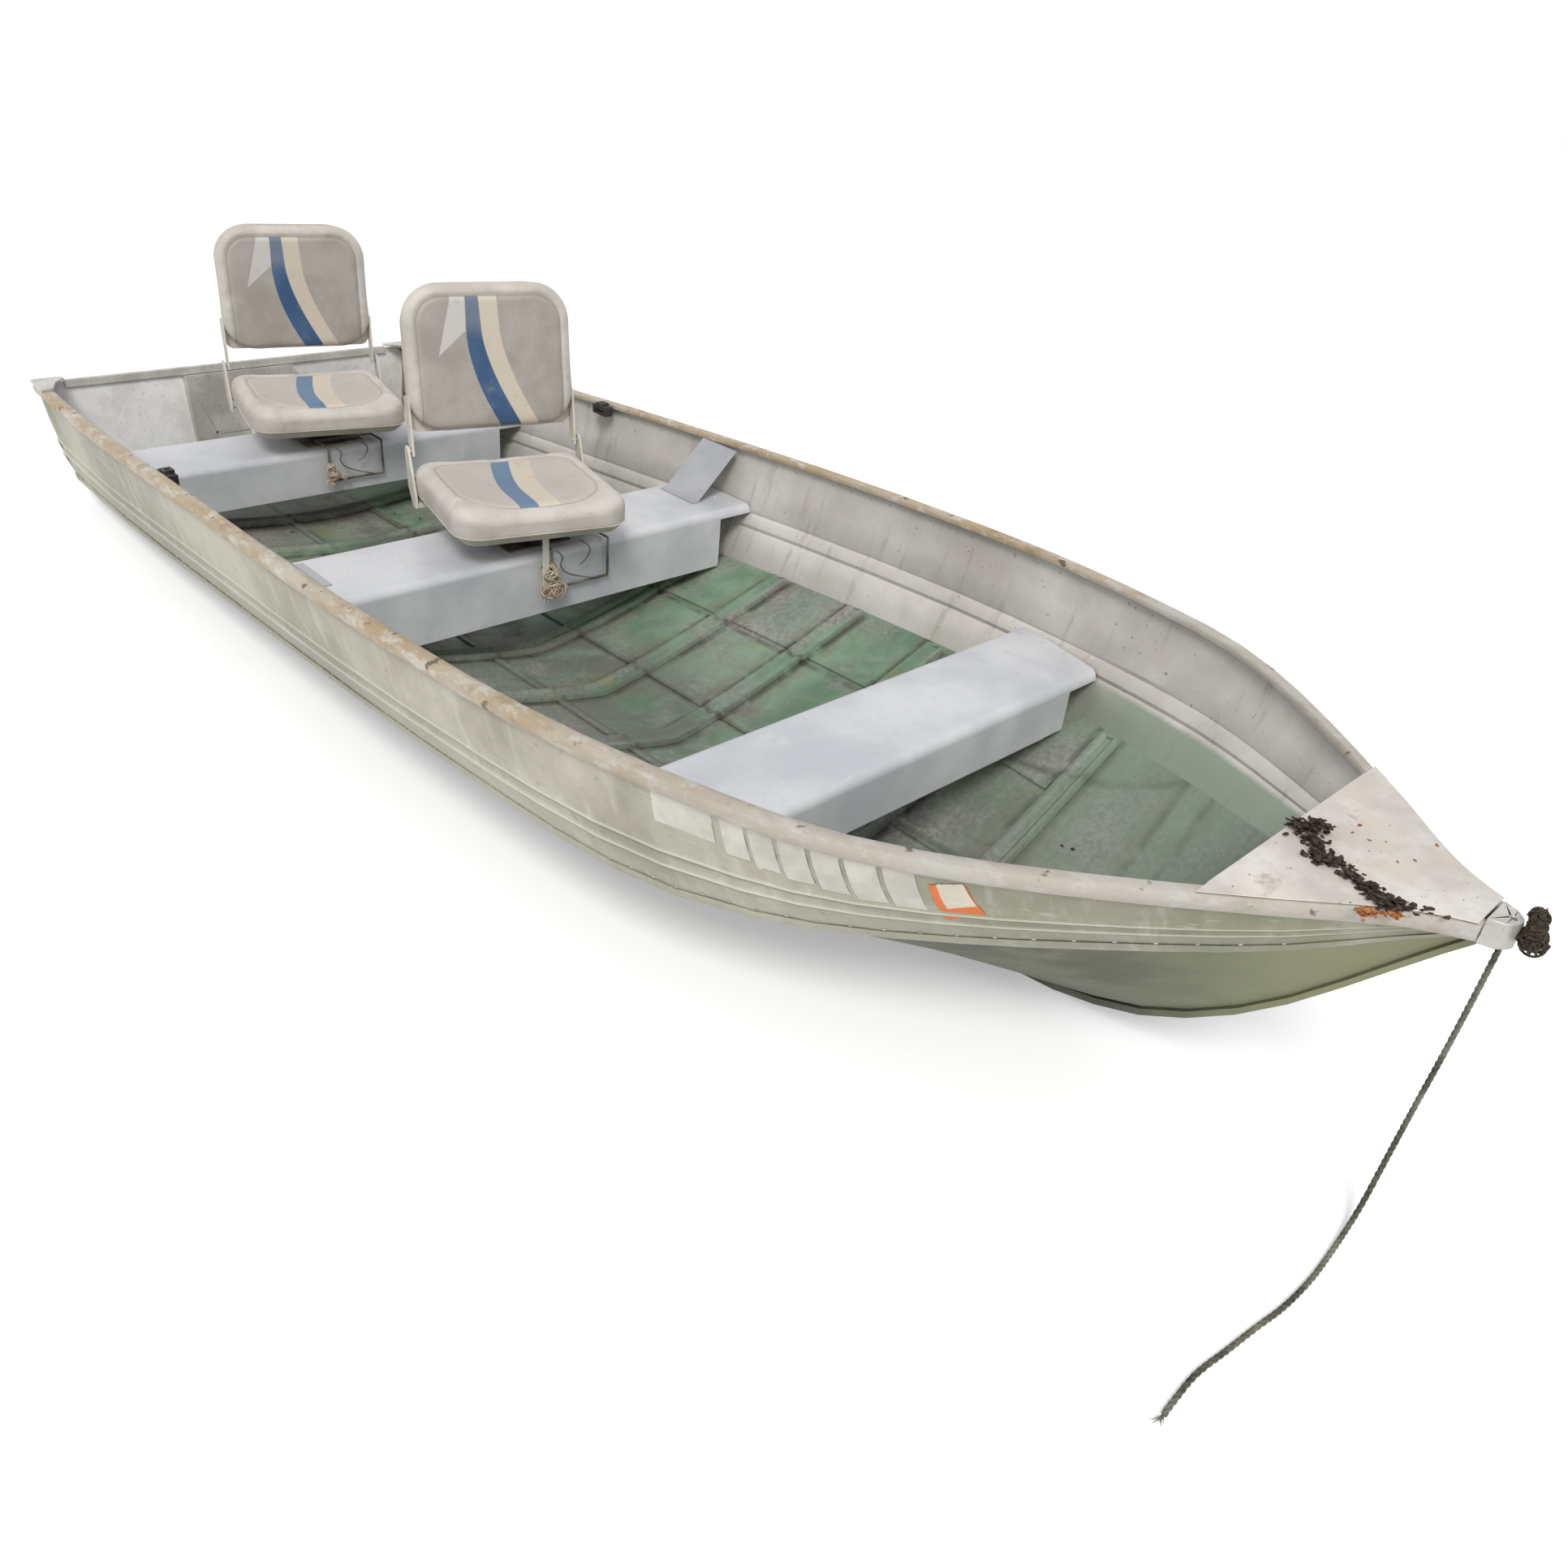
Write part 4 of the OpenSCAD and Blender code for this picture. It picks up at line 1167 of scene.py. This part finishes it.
# Each seat: the place of its swivel along the boat, its bench's height and its back's lean.
SEATS = {"aft": (-1.5335, 0.285, 1), "mid": (-0.3945, 0.335, 8)}
for seat, (centre_x, bench_z, lean_back) in SEATS.items():
    cushion_faces = seat_cushion(seat, seat_place(centre_x, bench_z))
    back_faces = seat_back(seat, back_place(centre_x, bench_z, lean_back))
    print(seat, "pads:", cushion_faces, "and", back_faces, "faces")

# %% [markdown]
# ## Rivets
# An aluminium boat is held together by hundreds of round-headed rivets. Each is a low
# dome of a few dozen faces, all heads of one area are one mesh, and every head is laid
# along the normal of the sheet it closes, so it stands proud as a real one does.

# %% Domes laid on a sheet
def copies(one, places):
    """A mesh with the small shape set down at every place."""
    shape = bpy.data.meshes.new("shape")
    one.to_mesh(shape)
    one.free()
    bm = bmesh.new()
    for place in places:
        moved = shape.copy()
        moved.transform(place)
        bm.from_mesh(moved)
        bpy.data.meshes.remove(moved)
    bpy.data.meshes.remove(shape)
    for face in bm.faces:
        face.smooth = True
    return bm


DOME_SIDES = 10
DOME_FLAT = 0.42


def domes(name, spots, radius, material):
    """Low domes at (place, normal) pairs."""
    one = bmesh.new()
    bmesh.ops.create_uvsphere(one, u_segments=DOME_SIDES, v_segments=6, radius=radius)
    bmesh.ops.delete(one, geom=[v for v in one.verts if v.co.z < -radius * 0.2], context="VERTS")
    bmesh.ops.scale(one, vec=(1, 1, DOME_FLAT), verts=one.verts)
    places = [Matrix.Translation(place) @ normal.normalized().to_track_quat("Z", "Y").to_matrix().to_4x4()
              for place, normal in spots]
    return keep(name, copies(one, places), material)


def facing(surface, a, b, step=4.0):
    """A surface's unit normal at (a, b), from two short tangents."""
    here = surface(a, b)
    along = surface(a + step, b) - here
    up = surface(a, b + 0.01) - here
    return along.cross(up).normalized()


def mirrored(spots):
    """The same places on both sides of the boat."""
    flip = Vector((1, -1, 1))
    return spots + [(p * flip, n * flip) for p, n in spots]


print("dome helper ready")

# %% [markdown]
# ## Rows along the hull
# One row closes the sheet under the gunwale and shows on both of its sides, and a closer
# row runs along the chine. A range gives every place, so the spacing is one number.

# %% Side and chine rivets
def side_out(x, g):
    n = facing(sheet_point, x, g)
    return -n if n.y < 0 else n


SIDE_ROW = range(45, 4061, 73)
CHINE_ROW = range(40, 4019, 51)

row = []
for x in SIDE_ROW:
    n = side_out(x, 0.93)
    row.append((sheet_point(x, 0.915, 0.2), n))
    row.append((sheet_point(x, 0.905, -1.9), -n))
domes("side_rivets", mirrored(row), 0.0042, rivet_metal)
chine = []
for x in CHINE_ROW:
    chine.append((sheet_point(x, 0.080, 0.3), side_out(x, 0.09)))
domes("chine_rivets", mirrored(chine), 0.0040, rivet_metal)
print("side rivets:", len(row) * 2, "chine rivets:", len(chine) * 2)

# %% [markdown]
# ## Rivets in the ribs
# Each rib is riveted through the bottom, and the heads stand on the rib's crown. They
# have the floor's paint on them, as they were painted together.

# %% Rib rivets
def floor_up(x, f):
    n = facing(floor_point, x, f)
    return n if n.z > 0 else -n


ribs = []
for i in range(1, 12):
    x = RIB_PITCH * 1000 * i
    crown = 8.6 if i > 8 else 7.4
    for k in range(-9, 10):
        if k:
            ribs.append((floor_point(x, k / 10, crown), floor_up(x, k / 10)))
domes("rib_rivets", ribs, 0.0050, floor_green)
print("rib rivets:", len(ribs))

# %% [markdown]
# ## Rivets in the benches
# Four heads across each end of a bench hold it to its bracket, and two hold each brace.
# The bench heads wear the benches' paint.

# %% Bench and brace rivets
UP = Vector((0, 0, 1))

# Each bench from aft: its aft edge, its width along the boat and its top, in millimetres.
BENCHES = ((472, 262, 285), (1602, 280, 335), (2907, 295, 388))
END_ROWS = 4
EDGE_IN = 46
END_IN = 96
BRACE_XS = (1665, 1765)
BRACE_Y = 600
BRACE_TOP = 339.5

heads = []
for start, width, top in BENCHES:
    y = curve(start + width / 2, GUNWALE_Y) - END_IN
    for k in range(END_ROWS):
        x = start + EDGE_IN + k * (width - 2 * EDGE_IN) / (END_ROWS - 1)
        for side in (-1, 1):
            heads.append((Vector((x - MIDDLE, side * y, top)) / 1000, UP))
domes("bench_rivets", heads, 0.0046, bench)
knee_heads = []
for side in (-1, 1):
    for x in BRACE_XS:
        knee_heads.append((Vector((x - MIDDLE, side * BRACE_Y, BRACE_TOP)) / 1000, UP))
domes("knee_rivets", knee_heads, 0.0045, rivet_metal)
print("bench rivets:", len(heads), "brace rivets:", len(knee_heads))

# %% [markdown]
# ## Worn patches and sticker
# The bow carries a row of pale patches and an orange and cream sticker, all blank here.
# They could be painted into the side's finish, but they are thin sheets on the real boat
# too, with chipped edges. So each is a grid bent on to the side, and its edges are worn
# away by noise in its alpha.

# %% Flaking finish
def flaking(name, colour, second=None, wear=0.5):
    m = Shade(name)
    u, v = m.flat("patch")
    edge = (0.5 - (u - 0.5).size()).least(0.5 - (v - 0.5).size())
    chips = m.noise(95, 4, 0.7)
    dust = m.noise(14, 4, 0.6)
    tint = m.mix(m.step(dust, 0.35, 0.7), colour, tuple(c * 0.80 for c in colour))
    if second:
        inner = m.step(v + chips * 0.06, 0.36, 0.40) * m.step(u + chips * 0.06, 0.25, 0.29)
        inner = inner * (1.0 - m.step(u, 0.90, 0.93))
        tint = m.mix(inner, second, tint)
    cover = m.step(edge * 3.0 + chips * wear, 0.26, 0.34)
    return m.finish(colour=tint, rough=0.55, alpha=cover, normal=m.bump(chips, 0.0003, 0.5))


pale = flaking("worn_patch", (0.640, 0.615, 0.530), wear=0.7)
sticker = flaking("worn_sticker", (0.700, 0.640, 0.520), (0.720, 0.170, 0.030), wear=0.3)
print("finishes:", pale.name, sticker.name)

# %% [markdown]
# ## Sheets bent on to the side
# A flat grid is moved point by point on to the starboard side, half a millimetre proud
# of it, so that it neither sinks in nor floats. Its UV map is made while it is still
# flat, and Solidify gives it a film's thickness.

# %% Patches and sticker
STARBOARD = -1
PATCH_OUT = 0.45
PATCH_STEPS = 12
FILM = 0.0002


def patch(name, corners, material):
    """A thin sheet on the starboard side between four (x, g) corners."""
    bm = bmesh.new()
    bmesh.ops.create_grid(bm, x_segments=PATCH_STEPS, y_segments=PATCH_STEPS, size=0.5)
    layer = bm.loops.layers.uv.new("patch")
    for face in bm.faces:
        for loop in face.loops:
            loop[layer].uv = (loop.vert.co.x + 0.5, loop.vert.co.y + 0.5)
    a, b, c, d = corners
    for v in bm.verts:
        s, t = v.co.x + 0.5, v.co.y + 0.5
        x = (1 - t) * ((1 - s) * d[0] + s * c[0]) + t * ((1 - s) * a[0] + s * b[0])
        g = (1 - t) * ((1 - s) * d[1] + s * c[1]) + t * ((1 - s) * a[1] + s * b[1])
        place = sheet_point(x, g, PATCH_OUT)
        v.co = Vector((place.x, STARBOARD * place.y, place.z))
    bm.normal_update()
    if sum(f.normal.y for f in bm.faces) * STARBOARD < 0:
        bmesh.ops.reverse_faces(bm, faces=bm.faces)
    obj = keep(name, bm, material)
    solid = obj.modifiers.new("thickness", "SOLIDIFY")
    solid.thickness = FILM
    solid.offset = -1.0
    return obj


patch("number_patch_0", ((3160, 0.90), (3280, 0.90), (3280, 0.66), (3160, 0.66)), pale)
for k in range(6):
    x0, x1 = 3294 + 52 * k, 3294 + 52 * k + 44
    high, low = (0.92 + 0.02 * k / 5), (0.60 - 0.16 * k / 5)
    patch("number_patch_" + str(k + 1), ((x0, high), (x1, high), (x1 + 3, low), (x0 + 3, low)), pale)
patch("permit_sticker", ((3612, 0.78), (3662, 0.84), (3680, 0.44), (3614, 0.30)), sticker)

# %% [markdown]
# ## Clamp strap and wires
# The folding seats are held by rusty wire hooks. A pale strap hangs from the middle
# seat, and both hooks are bound with a twist of frayed cord, as an owner would tie them.

# %% Loops of cord
FULL_TURN = 6.28
LOOP_POINTS = 15


def bound(centre, radius, turns, spread=1.0):
    """Loops of thin cord wound at random about a point."""
    lines = []
    for _ in range(turns):
        axis = Vector([chance.uniform(-1, 1) for _ in range(3)]).normalized()
        side = axis.orthogonal().normalized()
        other = axis.cross(side)
        r = radius * chance.uniform(0.55, 1.0)
        shift = Vector([chance.uniform(-1, 1) * radius * 0.25 for _ in range(3)])
        begin = chance.uniform(0, FULL_TURN)
        reach = chance.uniform(3.0, 6.0)
        loop = []
        for k in range(LOOP_POINTS):
            angle = begin + reach * k / (LOOP_POINTS - 1)
            loop.append(Vector(centre) + shift
                        + (side * math.cos(angle) + other * math.sin(angle) * spread) * r)
        lines.append(loop)
    return lines


def cord_finish(name, dark, light):
    m = Shade(name)
    grain = m.noise(240, 3, 0.7)
    return m.finish(colour=m.mix(m.step(grain, 0.3, 0.7), dark, light), rough=0.9,
                    normal=m.bump(grain, 0.0006, 0.8), specular=0.2)


tan_cord = cord_finish("tan_cord", (0.370, 0.280, 0.200), (0.640, 0.540, 0.430))
knot_cord = cord_finish("knot_cord", (0.022, 0.017, 0.012), (0.090, 0.070, 0.048))
print("finishes:", tan_cord.name, knot_cord.name)

# %% [markdown]
# ## Bindings and wires
# Each clamp has a wad of frayed cord on its front hook and two loose wires inside the
# loop. The wad is three bundles of loops with ends hanging out, and the wires are
# smooth lines through a few points measured from the bench's top.

# %% Bindings, inner wires and strap
def binding(x, y, z, big):
    lines = bound((x + 0.010, y, z + 0.010), 0.026 * big, 34, 1.3)
    lines += bound((x + 0.008, y - 0.002, z + 0.050 * big), 0.020 * big, 20, 1.5)
    lines += bound((x + 0.008, y + 0.040, z - 0.001), 0.009, 10)
    return lines + frays((x + 0.008, y - 0.008, z), (0.1, -0.3, -1), 0.036, 16, 0.6)


# The wires' points: forward and to port of the front hook, and up from the bench's top.
INNER_WIRES = (((-0.004, 0.100, 0.020), (0.006, 0.124, -0.004), (0.008, 0.112, -0.030),
                (0.004, 0.092, -0.045)),
               ((-0.002, 0.020, 0.008), (0.008, 0.034, -0.010), (0.006, 0.030, -0.036),
                (0.004, 0.060, -0.066), (0.005, 0.150, -0.098)))
# Each clamp: its front hook's place, the bench's top and how large its wad of cord is.
CLAMPS = {"mid": ((-0.2405, -0.012, 0.236), 0.335, 1.0), "aft": ((-1.3885, -0.044, 0.200), 0.285, 0.62)}
for seat, ((x, y, z), top, big) in CLAMPS.items():
    keep(seat + "_cord_binding", tubes(seat + "_cord_binding", binding(x, y, z, big), 0.0016, 1), tan_cord)
    wires = [through([Vector((x + a, y + b, top + c)) for a, b, c in wire], 5) for wire in INNER_WIRES]
    keep(seat + "_inner_wires", tubes(seat + "_inner_wires", wires, 0.0020, 2), wire_steel)
strap = block((0.0022, 0.020, 0.165), (-0.2345, -0.029, 0.3215), 0.0008, 0.0006)
keep("clamp_strap", strap, seat_plastic)
print("clamps bound:", len(CLAMPS))

# %% [markdown]
# ## Litter, twigs and the frayed knot
# A boat left outside gathers leaves. Small curled flakes lie on the bow deck and in the
# stern corners, and a few pale twigs lie in the fore well. A particle system could
# scatter them, but plain numbers drawn from a fixed seed come out the same each time.

# %% Leaf flakes
def flakes(name, spots, material, size, thick=0.0012):
    """Curled flakes: squashed little balls at each place, turned at random."""
    one = bmesh.new()
    bmesh.ops.create_icosphere(one, subdivisions=1, radius=size)
    bmesh.ops.scale(one, vec=(1.0, 1.0, thick / size * 1.6), verts=one.verts)
    for v in one.verts:
        v.co.z += 22.0 * v.co.x * v.co.x - 9.0 * v.co.y * v.co.y
    places = []
    for place in spots:
        large = chance.uniform(0.45, 1.0)
        turn = Matrix.Rotation(chance.uniform(0, FULL_TURN), 4, "Z")
        turn = turn @ Matrix.Rotation(chance.uniform(-0.5, 0.5), 4, "X")
        grown = Matrix.Diagonal((large, large * chance.uniform(0.45, 0.85), large, 1))
        places.append(Matrix.Translation(place) @ turn @ grown)
    return keep(name, copies(one, places), material)


def leaf_finish(name, dark, light):
    m = Shade(name)
    cells = m.noise(130, 3, 0.6)
    return m.finish(colour=m.mix(m.step(cells, 0.35, 0.68), dark, light), rough=0.85,
                    normal=m.bump(m.noise(420, 2, 0.6), 0.0004, 0.6), specular=0.25)


brown_leaf = leaf_finish("brown_leaf", (0.016, 0.012, 0.009), (0.085, 0.060, 0.040))
rust_leaf = leaf_finish("rust_leaf", (0.220, 0.070, 0.020), (0.500, 0.210, 0.070))


print("finishes:", brown_leaf.name, rust_leaf.name)

# %% [markdown]
# ## Leaves on the deck
# Dark flakes lie in a drift from the middle of the deck's aft edge to the starboard rail,
# where a few rust-red ones lie beside them. Each heap is a centre, a spread and a count,
# and the deck's own crown gives the height.

# %% Deck leaves
def deck_top(x, y):
    """Height of the slightly crowned deck sheet."""
    hull_x = x * 1000 + MIDDLE
    half = curve(hull_x, GUNWALE_Y) + 3
    return (curve(hull_x, GUNWALE_Z) + 5.9 - 2.7 * min(1.0, abs(y) * 1000 / half)) / 1000


def around(x, y, spread, count, rise=0.004):
    """Places scattered on the deck about a point."""
    spots = []
    for _ in range(count):
        px, py = x + chance.gauss(0, spread), y + chance.gauss(0, spread)
        spots.append(Vector((px, py, deck_top(px, py) + chance.uniform(0.0003, rise))))
    return spots


deck_spots = around(1.803, -0.020, 0.010, 60, 0.014) + around(1.822, -0.006, 0.010, 60, 0.020)
deck_spots += around(1.840, -0.036, 0.010, 36, 0.012) + around(1.866, -0.080, 0.010, 40, 0.010)
for k in range(30):
    t = k / 29
    deck_spots += around(1.845 + 0.150 * t, -0.050 - 0.066 * t, 0.0065, 5, 0.008)
deck_spots += around(1.990, -0.112, 0.011, 60, 0.012) + around(2.004, -0.098, 0.008, 24, 0.008)
deck_spots += around(1.955, -0.100, 0.009, 26, 0.008) + around(2.035, -0.080, 0.009, 8, 0.002)
flakes("deck_leaves", deck_spots, brown_leaf, 0.0085)
bits = around(1.978, -0.160, 0.0075, 34, 0.006) + around(2.006, -0.132, 0.007, 30, 0.005)
bits += around(1.93, 0.03, 0.05, 7, 0.0008)
flakes("rusty_bits", bits, rust_leaf, 0.0060, 0.0010)
print("deck flakes:", len(deck_spots) + len(bits))

# %% [markdown]
# ## Leaves and twigs on the floor
# Leaves gather in the two stern corners, and a few lie about the floor. Their places
# come from the floor's formula, so they rest on the sheet. The twigs are tapered tubes
# with a slight arch.

# %% Floor leaves and twigs
corner_spots = []
for side in (-1, 1):
    for _ in range(60):
        x = 30 + abs(chance.gauss(0, 55))
        f = side * (0.93 - abs(chance.gauss(0, 0.10)))
        corner_spots.append(floor_point(x, f, 4 + chance.uniform(0, 9)))
for _ in range(26):
    x, f = chance.uniform(700, 1560), chance.uniform(-0.85, 0.85)
    corner_spots.append(floor_point(x, f, 3 + chance.uniform(0, 1)))
for _ in range(24):
    x, f = chance.uniform(3240, 3740), chance.uniform(-0.6, 0.6)
    corner_spots.append(floor_point(x, f, 4 + chance.uniform(0, 1)))
flakes("floor_leaves", corner_spots, brown_leaf, 0.0095)
twigs = []
for k in range(7):
    x, f = chance.uniform(3260, 3700), chance.uniform(-0.35, 0.35)
    run, turn = chance.uniform(50, 130), chance.uniform(-0.10, 0.10)
    twigs.append([(*floor_point(x + run * t, f + turn * t, 6 + 2.5 * math.sin(3 * t)), 1.0 - 0.4 * t)
                  for t in (0, 0.2, 0.4, 0.6, 0.8, 1.0)])
keep("fore_twigs", tubes("fore_twigs", twigs, 0.0016, 1), tan_cord)
print("floor leaves:", len(corner_spots), "twigs:", len(twigs))

# %% [markdown]
# ## The knot at the nose
# The painter's old knot has frayed into a dark ball. It is wound from loops of thin cord
# round two points, a large ball and a smaller one above it, with loose ends standing
# out, so its outline is uneven as frayed cord's is.

# %% Knot of loops and loose ends
KNOT = Vector((2.1590, 0, 0.5956))
KNOT_TOP = Vector((2.1535, 0, 0.632))
loops = bound(KNOT, 0.0185, 60) + bound(KNOT_TOP, 0.0120, 44) + bound((KNOT + KNOT_TOP) / 2, 0.0135, 40)
for _ in range(24):
    way = Vector([chance.uniform(-1, 1) for _ in range(3)]).normalized()
    loops += frays(KNOT + way * 0.015, way, 0.011, 1, 0.6)
    loops += frays(KNOT_TOP + way * 0.009, way, 0.009, 1, 0.6)
knot = keep("frayed_knot", tubes("frayed_knot", loops, 0.0019, 1), knot_cord)
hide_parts("painter_knot")
print("knot loops:", len(loops))

# %% [markdown]
# ## Floor and light
# A pale floor catches the shadow, and the camera sees it as white away from the shadow.
# A soft key stands high ahead of the bow and to starboard, because the starboard side
# and the faces that look forward are lit in the photograph. The world fills the rest.

# %% Floor that stays pale for the camera
def floor_finish():
    m = Shade("pale_floor")
    seen = m.rays("Is Camera Ray", "Is Glossy Ray", "Is Transmission Ray")
    m.finish(colour=(0.80, 0.80, 0.80), rough=0.9, specular=0.1)
    m.plug(m.bsdf.inputs["Emission Color"], (1.0, 1.0, 1.0))
    glow = m.add("ShaderNodeEmission", None, {"Color": (1, 1, 1), "Strength": 0.30})
    both = m.add("ShaderNodeAddShader", None, {0: Socket(m, m.bsdf.outputs[0]), 1: glow})
    mixed = m.add("ShaderNodeMixShader", None, {0: seen, 1: Socket(m, m.bsdf.outputs[0]), 2: both})
    out = next(n for n in m.tree.nodes if n.type == "OUTPUT_MATERIAL")
    m.tree.links.new(mixed.socket, out.inputs["Surface"])
    return m.material


bm = bmesh.new()
bmesh.ops.create_grid(bm, x_segments=2, y_segments=2, size=30,
                      matrix=Matrix.Translation((0, 0, -0.0008)))
ground_mesh = bpy.data.meshes.new("ground")
bm.to_mesh(ground_mesh)
bm.free()
ground = bpy.data.objects.new("ground", ground_mesh)
bpy.context.scene.collection.objects.link(ground)
ground_mesh.materials.append(floor_finish())
print("floor laid")

# %% [markdown]
# ## World and lamps
# The photograph has soft daylight with a faint direction. A wide sun gives the soft-
# edged shadow, an area lamp lifts the bow, and the sky fills the rest with a cooler
# grey. The camera and shiny faces see the sky as plain white, because the object stands
# on white.

# %% World and lamps
FILL = 0.62
SUN_POWER = 1.9
SUN_WIDTH = 0.35
SUN_FROM = (0.55, -0.62, 1.0)
SOFT_PLACE = (4.2, -3.4, 3.2)
SOFT_AIM = (0.6, 0, 0.3)

world = bpy.data.worlds.new("studio")
bpy.context.scene.world = world
sky = Shade("studio", world)
fill = sky.add("ShaderNodeBackground", None, {0: (0.92, 0.95, 1.0), 1: FILL})
white = sky.add("ShaderNodeBackground", None, {0: (1, 1, 1), 1: 1.0})
seen = sky.rays("Is Camera Ray", "Is Glossy Ray")
shown = sky.add("ShaderNodeMixShader", None, {0: seen, 1: fill, 2: white})
sky.tree.links.new(shown.socket, sky.tree.nodes["World Output"].inputs["Surface"])


def lamp(name, kind, power, colour, placed):
    data = bpy.data.lights.new(name, kind)
    data.energy = power
    data.color = colour
    obj = bpy.data.objects.new(name, data)
    bpy.context.scene.collection.objects.link(obj)
    obj.matrix_world = placed
    return data


def aimed(way):
    """The turn that makes a lamp shine against this direction."""
    return Vector(way).to_track_quat("Z", "Y").to_matrix().to_4x4()


key = lamp("key", "SUN", SUN_POWER, (1.0, 0.98, 0.95), aimed(SUN_FROM))
key.angle = SUN_WIDTH
soft_way = Vector(SOFT_PLACE) - Vector(SOFT_AIM)
soft = lamp("soft", "AREA", 40, (0.96, 0.98, 1.0), Matrix.Translation(SOFT_PLACE) @ aimed(soft_way))
soft.size = 3.5
bpy.context.scene.view_settings.view_transform = "Standard"
print("lamps:", len(bpy.data.lights))
